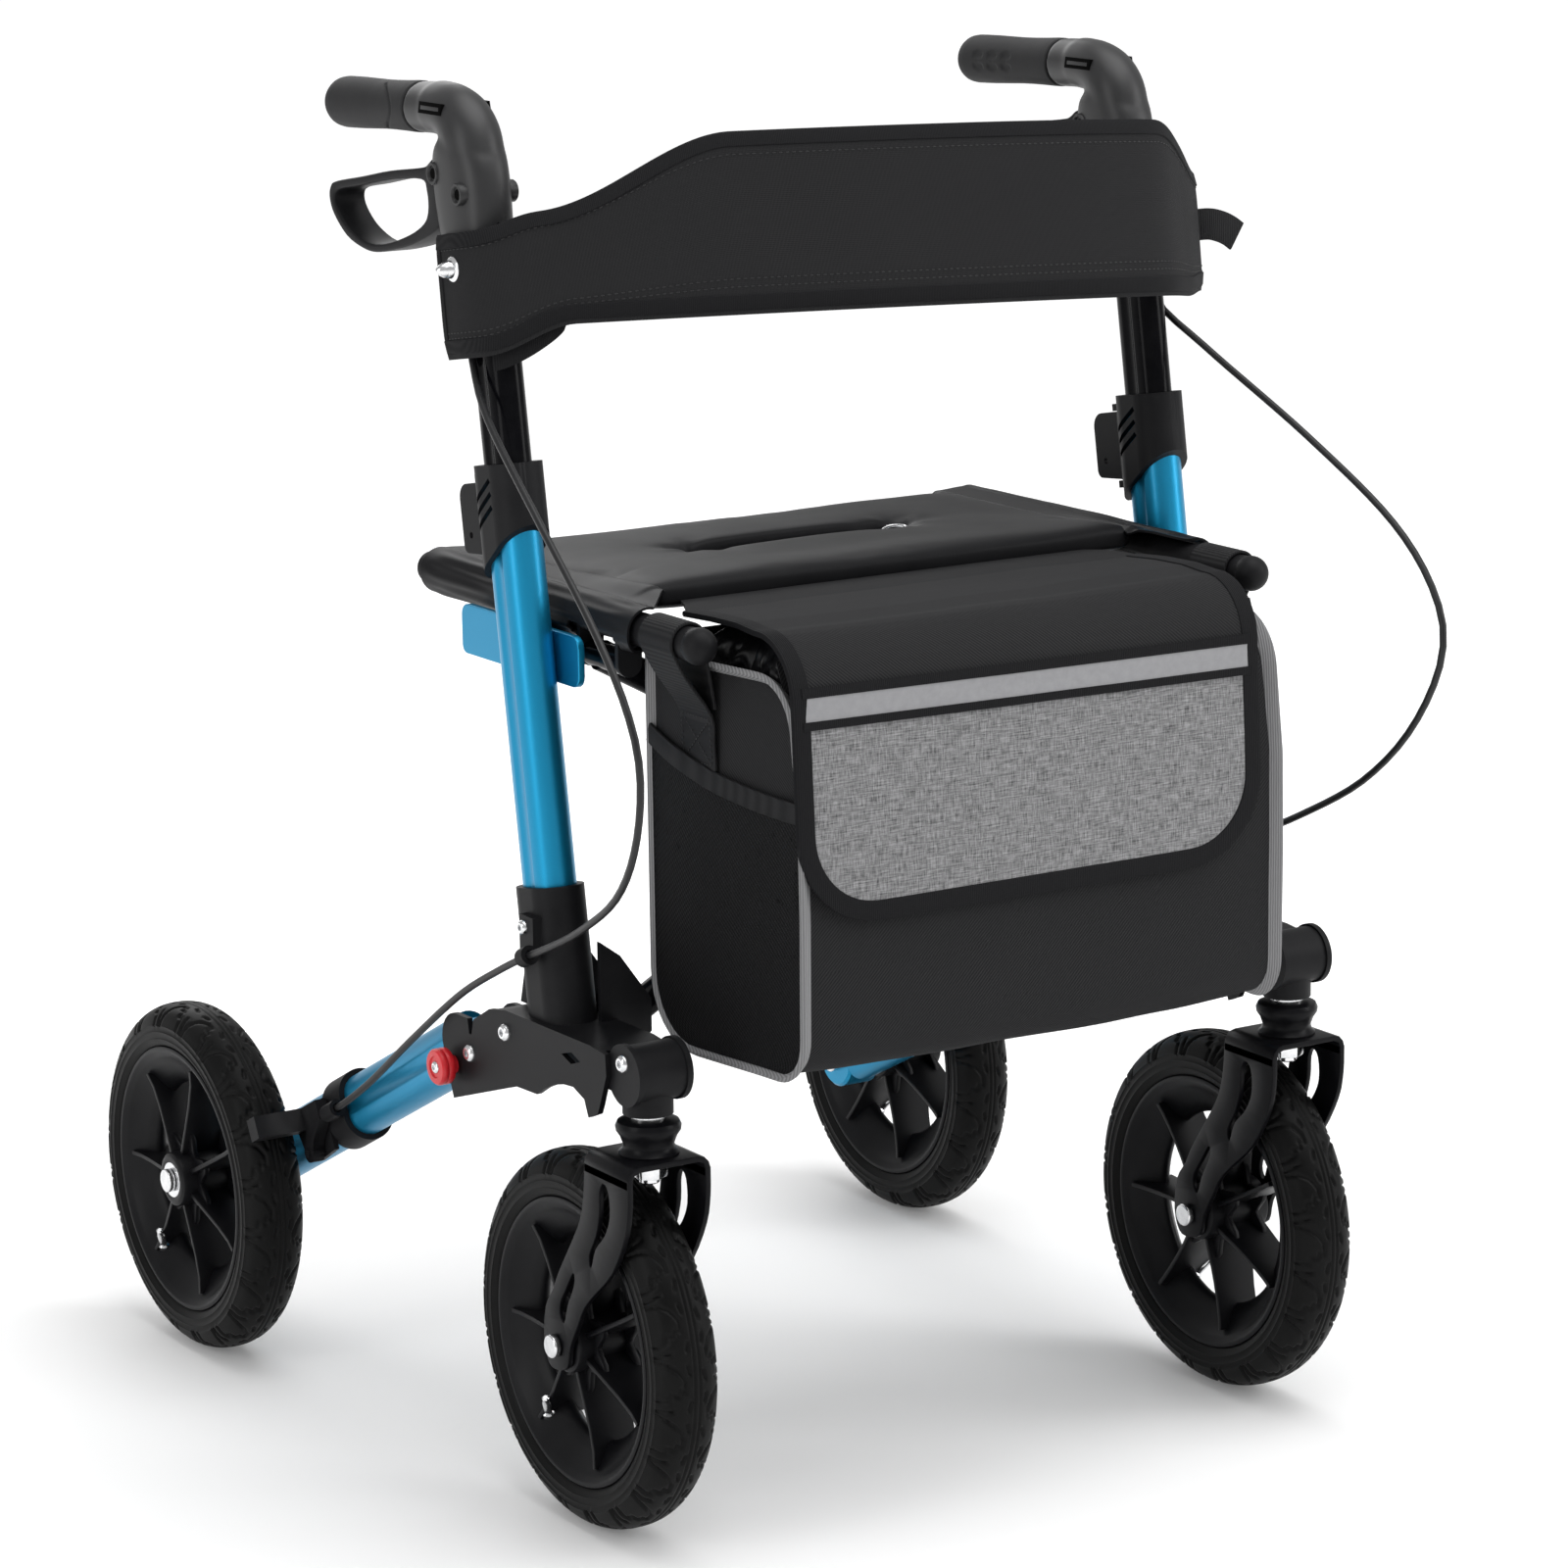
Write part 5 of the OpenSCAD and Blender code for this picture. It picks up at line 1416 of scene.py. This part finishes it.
for side, hand in SIDES.items():
    bm = cloth_sheet(84, 90, sleeve_at, lambda u, v: (u * SLEEVE_FLAT[0], v * SLEEVE_FLAT[1]))
    bmesh.ops.delete(bm, geom=[f for f in bm.faces if over_brace(f)], context="FACES")
    thicken(bm, 1.6)
    sleeve = piece(f"rail_sleeve_{side}", handed(bm, hand), vinyl, f"seat_rail_{side}",
                   [f"seat_sleeve_{side}"], closed=False)
print("sleeves drawn")

# %% [markdown]
# ## Bag
# The bag is sewn from one wrap of twill that runs down the back, under the bottom and up the front, and two
# side panels with net pockets. Grey tape binds the side seams. Each panel is a sheet that is bent to the
# bag's side view and filled out a little, because a bag that hangs from two straps sags and is never a box.

# %% Bag outline
BAG_TOP, PANEL_TOP, BAG_FRONT, BAG_BACK = 588.0, 577.0, -371.0, -217.0
REAR_Y, REAR_Z, REAR_R = -262.0, 368.0, 45.0
FORE_Y, FORE_Z, FORE_R = -344.0, 350.0, 27.0


def arc(centre, radius, start, end, steps=8):
    """Points on an arc, angles in degrees."""
    angles = [math.radians(start + (end - start) * i / steps) for i in range(steps + 1)]
    return [(centre[0] + radius * math.cos(a), centre[1] + radius * math.sin(a)) for a in angles]


lower_edge = [(BAG_BACK, 480.0)] + arc((REAR_Y, REAR_Z), REAR_R, 0, -90)
lower_edge += arc((FORE_Y, FORE_Z), FORE_R, -90, -180) + [(BAG_FRONT - 1, 430.0), (BAG_FRONT, 490.0)]
bag_outline = [(BAG_BACK, BAG_TOP)] + lower_edge + [(-363.0, 548.0), (-348.0, 576.0), (-343.0, BAG_TOP)]
BAG_STEPS, WRAP_W, CLOTH_THICK = 140, 374.0, 2.2
bag_line = evenly([Vector((0, y, z)) for y, z in bag_outline], BAG_STEPS)
WRAP_LONG = line_length(bag_line)


def bag_half(y):
    """Half width of the bag, which spreads towards the back."""
    return 184.0 + 15.0 * ease((y - BAG_FRONT) / (BAG_BACK - BAG_FRONT))


def wrap_at(u, v):
    """A point of the wrap: u across from the left, v from the back's top to the front's top."""
    k = min(int(v * BAG_STEPS), BAG_STEPS - 1)
    p = bag_line[k].lerp(bag_line[k + 1], v * BAG_STEPS - k)
    ahead = (bag_line[min(k + 2, BAG_STEPS)] - bag_line[max(k - 1, 0)]).normalized()
    out = Vector((0, -ahead.z, ahead.y))
    middle = 1 - (2 * u - 1) ** 4
    fill = middle * (0.8 if p.y > -230 else 1.4)
    if p.z < 400 and p.y < -230:
        fill = middle * (1.4 + 2.4 * ease((400 - p.z) / 50))
    at = Vector(((2 * u - 1) * bag_half(p.y), p.y, p.z))
    fill += wrinkle(at, 55.0, 1.1) * middle
    return at + out * fill


wrap_sheet = cloth_sheet(90, BAG_STEPS, wrap_at, lambda u, v: (u * WRAP_W, v * WRAP_LONG))
wrap = piece("bag_wrap", thicken(wrap_sheet, -CLOTH_THICK), twill, "seat_rail_left", ["bag_body"])
soft_bag = [wrap]
print("bag wrap is", round(WRAP_LONG), "mm long")

# %% [markdown]
# A side panel is a grid squeezed between the bag's front and back edges. Its top front corner is round. The
# pocket is a second sheet a little outside the first, with an elastic hem that dips to the front.

# %% Side panels and pockets
CORNER_R, NET_FRONT, NET_BACK, PANEL_LOW = 34.0, 503.0, 531.0, 325.0
PANEL_FLAT, NET_FLAT, NET_STEPS = (150.0, 252.0), (150.0, 185.0), 40


def side_edge(z):
    """Front and back edge of the side panel at a height."""
    back = BAG_BACK if z > REAR_Z else REAR_Y + math.sqrt(max(REAR_R ** 2 - (REAR_Z - z) ** 2, 0))
    if z < FORE_Z:
        return FORE_Y - math.sqrt(max(FORE_R ** 2 - (FORE_Z - z) ** 2, 0)), back
    front = BAG_FRONT - math.sin(math.pi * min((z - FORE_Z) / 140, 1.0)) + 7 * ease((z - 490) / 60)
    above = max(z - (PANEL_TOP - CORNER_R), 0.0)
    return front + CORNER_R - math.sqrt(max(CORNER_R ** 2 - above ** 2, 0)), back


def side_at(u, v, lift=0.0, top=PANEL_TOP):
    """A point of the right side panel: u from front to back, v from the bottom up."""
    z = PANEL_LOW + (top - PANEL_LOW) * v
    front, back = side_edge(z)
    y = front + (back - front) * u
    full = math.sin(math.pi * u) * math.sin(math.pi * min(max((z - 320) / 262, 0), 1))
    at = Vector((bag_half(y), y, z))
    return at + Vector((1.0 + 3.0 * full + wrinkle(at, 40.0, 1.4, 5.0) * full + lift, 0, 0))


def net_top(u):
    """Height of the pocket's hem, from the front to the back."""
    return NET_FRONT + (NET_BACK - NET_FRONT) * u * u


def net_at(u, v):
    """A point of the right pocket, a little outside the panel."""
    return side_at(u, v, 2.6, net_top(u))


hem_path = [side_at(u, 1.0, 3.2, net_top(u)) for u in (i / NET_STEPS for i in range(NET_STEPS + 1))]
hem_down = [Vector((0, 0, -1))] * len(hem_path)
hem_out = [Vector((1, 0, 0))] * len(hem_path)
for side, hand in SIDES.items():
    bm = cloth_sheet(40, 70, side_at, lambda u, v: (u * PANEL_FLAT[0], v * PANEL_FLAT[1]))
    panel = piece(f"bag_side_{side}", handed(thicken(bm, CLOTH_THICK), hand), twill, "seat_rail_left")
    bm = cloth_sheet(NET_STEPS, 50, net_at, lambda u, v: (u * NET_FLAT[0], v * NET_FLAT[1]))
    pocket = piece(f"bag_net_{side}", handed(thicken(bm, 1.0), hand), net, "seat_rail_left")
    bm = ribbon(bmesh.new(), hem_path, hem_down, hem_out, 13.0, 2.6)
    hem = piece(f"bag_elastic_{side}", handed(bm, hand), webbing, "seat_rail_left")
    soft_bag += [panel, pocket, hem]
print("side panels sewn in")

# %% [markdown]
# The grey piping is one tape round each side panel. It stands out at a slant between the two panels that it
# joins, so its path is the panel's edge and its direction points away from the bag's corner.

# %% Piping
PIPING_STEPS, PIPING_W, PIPING_THICK, PIPING_OUT = 220, 10.0, 4.6, 5.5
panel_edge = [(BAG_BACK, PANEL_TOP)] + lower_edge + [(-366.5, 525.0)]
panel_edge += arc((-364 + CORNER_R, PANEL_TOP - CORNER_R), CORNER_R, 172, 90, 8) + [(BAG_BACK, PANEL_TOP)]
edge_line = evenly([Vector((0, y, z)) for y, z in panel_edge], PIPING_STEPS)
path, inwards, faces = [], [], []
for i, at in enumerate(edge_line):
    ahead = ahead_at(edge_line, i)
    out = Vector((0, -ahead.z, ahead.y))
    away = (out * 0.7 + Vector((1, 0, 0))).normalized()
    path.append(at + Vector((bag_half(at.y), 0, 0)) + away * PIPING_OUT)
    inwards.append(-away)
    faces.append(out - Vector((1, 0, 0)))
for side, hand in SIDES.items():
    bm = ribbon(bmesh.new(), path, inwards, faces, PIPING_W, PIPING_THICK)
    soft_bag.append(piece(f"bag_piping_{side}", handed(bm, hand), piping, "seat_rail_left"))
print("piping is", round(line_length(edge_line)), "mm a side")

# %% [markdown]
# Inside the mouth sits a collar of thin lining, gathered on a cord. Its pleats are a folded noise: the noise
# is taken without its sign, which turns smooth waves into sharp creases.

# %% Gathered collar
MOUTH_STEPS, COLLAR_FLAT, COLLAR_Z = 400, (1000.0, 34.0), 572.0
mouth = [(-188, -221), (188, -221), (180, -338), (-180, -338), (-188, -221)]
mouth_line = evenly([Vector((x, y, 0)) for x, y in mouth], MOUTH_STEPS)


def collar_at(u, v):
    """The gathered lining round the bag's mouth: u round it, v up it."""
    k = min(int(u * MOUTH_STEPS), MOUTH_STEPS - 1)
    p = mouth_line[k].lerp(mouth_line[k + 1], u * MOUTH_STEPS - k)
    inwards = Vector((-p.x * 0.5, -280 - p.y, 0)).normalized()
    tall = 25.0 * ease((-236 - p.y) / 14) + 12.0 * ease((p.y + 250) / 14)
    pleat = abs(noise.noise(Vector((p.x / 9.0, p.y / 9.0, v * 1.3))))
    pleat = (0.5 - pleat) * 9.0 * math.sin(math.pi * min(v * 1.1, 1.0))
    lean = 3.0 + 16.0 * v * v - 4.0 * math.sin(math.pi * v)
    return Vector((p.x, p.y, COLLAR_Z + tall * v)) + inwards * (lean + pleat)


bm = cloth_sheet(MOUTH_STEPS, 14, collar_at, lambda u, v: (u * COLLAR_FLAT[0], v * COLLAR_FLAT[1]))
collar = piece("bag_collar", thicken(bm, 0.8), lining, "seat_rail_left", closed=False)
gathers(soft_bag + [collar])
print("collar gathered")

# %% [markdown]
# Two wide straps carry the bag. Each is sewn flat on a side panel with a crossed box, goes up outside the
# rail, over it and back down behind, so it is one flat section swept along a loop.

# %% Straps
STRAP_Y, STRAP_W, BOX_LOW, BOX_MID, BOX_HIGH, BOX_HALF = -270.0, 40.0, 512.0, 530.0, 548.0, 17.0
box_x = side_at(0.65, (BOX_MID - PANEL_LOW) / (PANEL_TOP - PANEL_LOW), 1.9).x
strap_line = [(box_x - 1.2, BOX_LOW), (box_x - 0.2, BOX_MID), (box_x + 1.5, BOX_HIGH)]
strap_line += [(BRACE_X + 2.0, 574.0)] + arc((BRACE_X, RAIL_Z), 12.8, -24, 200, 22)
strap_line += [(box_x + 1.0, 566.0), (box_x - 1.5, BOX_HIGH + 4)]
strap_ring = [(-1, -0.5), (-0.97, -1.1), (0.97, -1.1), (1, -0.5), (1, 0.5), (0.97, 1.1),
              (-0.97, 1.1), (-1, 0.5)]
strap_ring = [Vector((a * STRAP_W / 2, b, 0)) for a, b in strap_ring]
line = smooth_line([Vector((x, STRAP_Y, z)) for x, z in strap_line], 3)
along_rail = Vector((0, 1, 0))
strap_stations = []
for i, at in enumerate(line):
    ahead = ahead_at(line, i)
    strap_stations.append(axes_at(at, along_rail, ahead.cross(along_rail), ahead))
corners = {"a": (STRAP_Y - BOX_HALF, BOX_LOW + 3), "b": (STRAP_Y + BOX_HALF, BOX_LOW + 3),
           "c": (STRAP_Y + BOX_HALF, BOX_HIGH - 3), "d": (STRAP_Y - BOX_HALF, BOX_HIGH - 3)}
for side, hand in SIDES.items():
    bm = bmesh.new()
    swept(bm, strap_ring, strap_stations)
    piece(f"bag_straps_{side}", handed(bm, hand), webbing, f"seat_rail_{side}")
    bm = bmesh.new()
    for a, b in ("ab", "bc", "cd", "da", "ac", "bd"):
        path = [Vector((box_x + 1.3 + (z - BOX_MID) * 0.05, y, z)) for y, z in (corners[a], corners[b])]
        stitches(bm, path, [Vector((1, 0, 0))] * 2, 3.4, 2.4, 0.45)
    piece(f"strap_stitches_{side}", handed(bm, hand), thread, f"seat_rail_{side}", closed=False)
print("straps sewn on at x", round(box_x, 1))

# %% [markdown]
# ## Bag flap
# The flap hangs from its hinge under the seat's edge, over the top of the bag and down its front. It is one
# sheet: black twill above, heather below, with a reflective tape between two black lines sewn over the join.
# A folded binding runs round its free edge, and the lower corners are round.

# %% Flap outline
FLAP_HALF, FLAP_MID, FLAP_CORNER, TAPE_SLOPE = 180.0, -11.0, 58.0, 0.012
flap_outline = [(-239.0, 606.4), (-275.0, 609.0), (-305.0, 609.6)] + arc((-331, 567), 41, 84, 172)
flap_outline += [(-375.5, 500.0), (-378.5, 424.0)]
FLAP_STEPS = 130
flap_line = evenly([Vector((0, y, z)) for y, z in flap_outline], FLAP_STEPS)
FLAP_LONG = line_length(flap_line)
TAPE_TOP_Z, TAPE_W = 571.0, 16.0
TAPE_FROM = next(i for i, p in enumerate(flap_line) if p.z < TAPE_TOP_Z) * FLAP_LONG / FLAP_STEPS
TAPE_TO = TAPE_FROM + TAPE_W


def flap_half_width(s):
    """Half width of the flap at a distance from its hinge."""
    left = max(FLAP_CORNER - (FLAP_LONG - s), 0.0)
    return FLAP_HALF - FLAP_CORNER + math.sqrt(max(FLAP_CORNER ** 2 - left ** 2, 0.0))


def flap_at(x, s, lift=0.0):
    """A point of the flap: x across, s along it from the hinge."""
    t = min(max(s / FLAP_LONG, 0.0), 1.0) * FLAP_STEPS
    k = min(int(t), FLAP_STEPS - 1)
    p = flap_line[k].lerp(flap_line[k + 1], t - k)
    ahead = (flap_line[min(k + 2, FLAP_STEPS)] - flap_line[max(k - 1, 0)]).normalized()
    out = Vector((0, ahead.z, -ahead.y))
    middle = 1 - (x / FLAP_HALF) ** 2
    full = 1.2 * middle * ease((s - 120) / 60) - 1.5 * middle * ease(s / 40) * ease((120 - s) / 40)
    at = Vector((x + FLAP_MID, p.y, p.z))
    full += wrinkle(at, 70.0, 1.0, 9.0)
    return at + out * (full + lift)


def flap_out(x, s):
    """Direction out of the flap's face."""
    along = flap_at(x, min(s + 2, FLAP_LONG)) - flap_at(x, max(s - 2, 0))
    across = flap_at(x + 2, s) - flap_at(x - 2, s)
    return along.cross(across).normalized()


def flap_spot(u, v):
    """Flat place of a grid point: across and along, in millimetres."""
    s = FLAP_LONG * v
    return (2 * u - 1) * flap_half_width(s), s


def facing_front(bm):
    """Turns a sheet's faces to the front of the frame."""
    bmesh.ops.recalc_face_normals(bm, faces=bm.faces)
    foremost = min(bm.faces, key=lambda f: f.calc_center_median().y)
    if foremost.normal.y > 0:
        bmesh.ops.reverse_faces(bm, faces=bm.faces)
    return bm


flap_bm = cloth_sheet(120, FLAP_STEPS, lambda u, v: flap_at(*flap_spot(u, v)), flap_spot)
flap_map = flap_bm.loops.layers.uv["flat"]
for face in flap_bm.faces:
    spot = sum((loop[flap_map].uv for loop in face.loops), Vector((0, 0))) / len(face.loops)
    face.material_index = 1 if spot.y - TAPE_SLOPE * spot.x > (TAPE_FROM + TAPE_TO) / 2 * MM else 0
thicken(facing_front(flap_bm), CLOTH_THICK)
flap = piece("flap_cloth", flap_bm, [twill, heather], "bag_flap", ["bag_flap"], closed=False)
print("flap is", round(FLAP_LONG), "mm long, tape from", round(TAPE_FROM), "mm")

# %% [markdown]
# Tape and lines are narrow sheets sewn on the flap, so they use the flap's own surface and are lifted off it
# by their thickness. The binding is a folded tape swept along the free edge, round both lower corners.

# %% Tape and binding
BINDING_W, BINDING_THICK, AREA_STEPS = 12.5, 4.4, 200
MID_CLOTH = -CLOTH_THICK / 2


def flap_strip(name, low, high, lift, finish):
    """A tape sewn across the flap, a little off level."""
    def spot(u, v):
        s = low + (high - low) * v
        x = (2 * u - 1) * (flap_half_width(s) - 6)
        return x, s + TAPE_SLOPE * x
    bm = cloth_sheet(80, 6, lambda u, v: flap_at(*spot(u, v), lift), spot)
    return piece(name, thicken(facing_front(bm), 0.8), finish, "bag_flap", closed=False)


strips = [flap_strip("flap_tape", TAPE_FROM, TAPE_TO, 0.9, tape),
          flap_strip("flap_line_high", TAPE_FROM - 6, TAPE_FROM + 0.5, 1.4, binding),
          flap_strip("flap_line_low", TAPE_TO - 0.5, TAPE_TO + 5, 1.4, binding)]
left_side = [(-FLAP_HALF, s) for s in range(2, int(FLAP_LONG - FLAP_CORNER), 5)]
corner_at = Vector((FLAP_CORNER - FLAP_HALF, FLAP_LONG - FLAP_CORNER))
left_side += [(corner_at.x + x, corner_at.y + s) for x, s in arc((0, 0), FLAP_CORNER, 180, 90, 14)]
bottom = [(x, FLAP_LONG) for x in range(-115, 116, 10)]
round_edge = left_side + bottom + [(-x, s) for x, s in reversed(left_side)]
path, inwards, faces = [], [], []
for x, s in round_edge:
    path.append(flap_at(x, s, MID_CLOTH))
    faces.append(flap_out(x, s))
    if s > corner_at.y:
        centre = (math.copysign(min(abs(x), -corner_at.x), x), corner_at.y)
        inwards.append(flap_at(*centre, MID_CLOTH) - path[-1])
    else:
        inwards.append(Vector((-x, 0, 0)))
bm = ribbon(bmesh.new(), path, inwards, faces, BINDING_W, BINDING_THICK)
bound = piece("flap_edge", bm, binding, "bag_flap")
print("flap bound")

# %% [markdown]
# Behind its hinge line the flap runs on to the seam under the pad's front edge. That strip does not swing, so
# it is a sheet of its own, and its front end lies under the start of the flap, where the step does not show.

# %% Root of the flap
ROOT_HALF, ROOT_LONG = 158.0, 48.0


def root_at(u, v):
    """A point of the root: u across from the left, v from the pad to the hinge line."""
    across = 2 * u - 1
    sewn = Vector((across * ROOT_HALF + FLAP_MID, -200.0, 604.0))
    at = sewn.lerp(flap_at(across * FLAP_HALF, 7.0, -2.6), v)
    return at + Vector((0, 0, 1.5 * math.sin(math.pi * v)))


root_sheet = cloth_sheet(80, 24, root_at, lambda u, v: (u * 2 * FLAP_HALF, v * ROOT_LONG))
root = piece("flap_root", thicken(root_sheet, -CLOTH_THICK), twill, "seat_rail_left")
gathers([flap, bound, root] + strips)
print("root sewn to the pad")

# %% [markdown]
# ## Studio
# A pale floor, a white surround and large soft lamps, as in a catalogue studio. The floor is lit as any
# surface is, so it keeps the shadow, and it glows a little for the camera alone, more so far from the frame,
# which brings it up to white there.

# %% Floor and light
FLOOR_HALF = 60.0
paper = bpy.data.materials.new("studio_floor")
paper.use_nodes = True
paper.node_tree.nodes.clear()
matte = add_node(paper, "BsdfDiffuse", Color=(0.86, 0.86, 0.86, 1.0))
glow = add_node(paper, "Emission")
rays = add_node(paper, "LightPath")
seen = add_node(paper, "Math", {"operation": "MAXIMUM"})
join(paper, rays, "Is Camera Ray", seen, 0)
join(paper, rays, "Is Glossy Ray", seen, 1)
far = add_node(paper, "VectorMath", {"operation": "LENGTH"})
join(paper, add_node(paper, "TexCoord"), "Object", far, 0)
fade = add_node(paper, "MapRange", {"interpolation_type": "SMOOTHSTEP"}, From_Min=0.3, From_Max=1.5,
                To_Min=0.1, To_Max=0.42)
join(paper, far, "Value", fade, "Value")
share = add_node(paper, "Math", {"operation": "MULTIPLY"})
join(paper, seen, 0, share, 0)
join(paper, fade, "Result", share, 1)
join(paper, share, 0, glow, "Strength")
total = add_node(paper, "AddShader")
join(paper, matte, 0, total, 0)
join(paper, glow, 0, total, 1)
join(paper, total, 0, add_node(paper, "OutputMaterial"), "Surface")
bm = bmesh.new()
bmesh.ops.create_grid(bm, x_segments=1, y_segments=1, size=FLOOR_HALF)
floor_mesh = bpy.data.meshes.new("floor")
bm.to_mesh(floor_mesh)
bm.free()
floor_mesh.materials.append(paper)
floor = bpy.data.objects.new("floor", floor_mesh)
scene.collection.objects.link(floor)
world = bpy.data.worlds.new("studio")
world.use_nodes = True
scene.world = world
sky = world.node_tree.nodes["Background"]
sky.inputs["Color"].default_value = (1.0, 1.0, 1.0, 1.0)
strength = add_node(world, "MapRange", To_Min=0.5, To_Max=1.0)
join(world, add_node(world, "LightPath"), "Is Camera Ray", strength, "Value")
join(world, strength, "Result", sky, "Strength")
print("floor and surround set")

# %% [markdown]
# Four large lamps stand round the frame, and a broad sun adds an even wash. Large lamps give the soft shadows
# and the long bright lines on the tubes.

# %% Lamps
def soft_lamp(name, at, towards, size, watts):
    """A large soft rectangular lamp."""
    data = bpy.data.lights.new(name, "AREA")
    data.shape = "RECTANGLE"
    data.size, data.size_y = size
    data.energy = watts
    lamp = bpy.data.objects.new(name, data)
    scene.collection.objects.link(lamp)
    lamp.location = at
    lamp.rotation_mode = "QUATERNION"
    lamp.rotation_quaternion = (Vector(towards) - Vector(at)).to_track_quat("-Z", "Y")


soft_lamp("top_lamp", (0.3, -0.4, 3.2), (0, 0, 0.4), (2.6, 2.6), 46.0)
soft_lamp("right_lamp", (2.6, -2.2, 1.7), (0, 0, 0.5), (1.1, 2.2), 34.0)
soft_lamp("left_lamp", (-3.0, -0.6, 1.5), (0, 0, 0.5), (0.9, 2.2), 22.0)
soft_lamp("back_lamp", (0.6, 3.0, 2.0), (0, 0, 0.5), (2.0, 1.4), 24.0)
sun_data = bpy.data.lights.new("wash", "SUN")
sun_data.energy = 0.7
sun_data.angle = math.radians(60)
sun = bpy.data.objects.new("wash", sun_data)
scene.collection.objects.link(sun)
sun.rotation_euler = (math.radians(24), math.radians(14), 0)
print("lamps set")
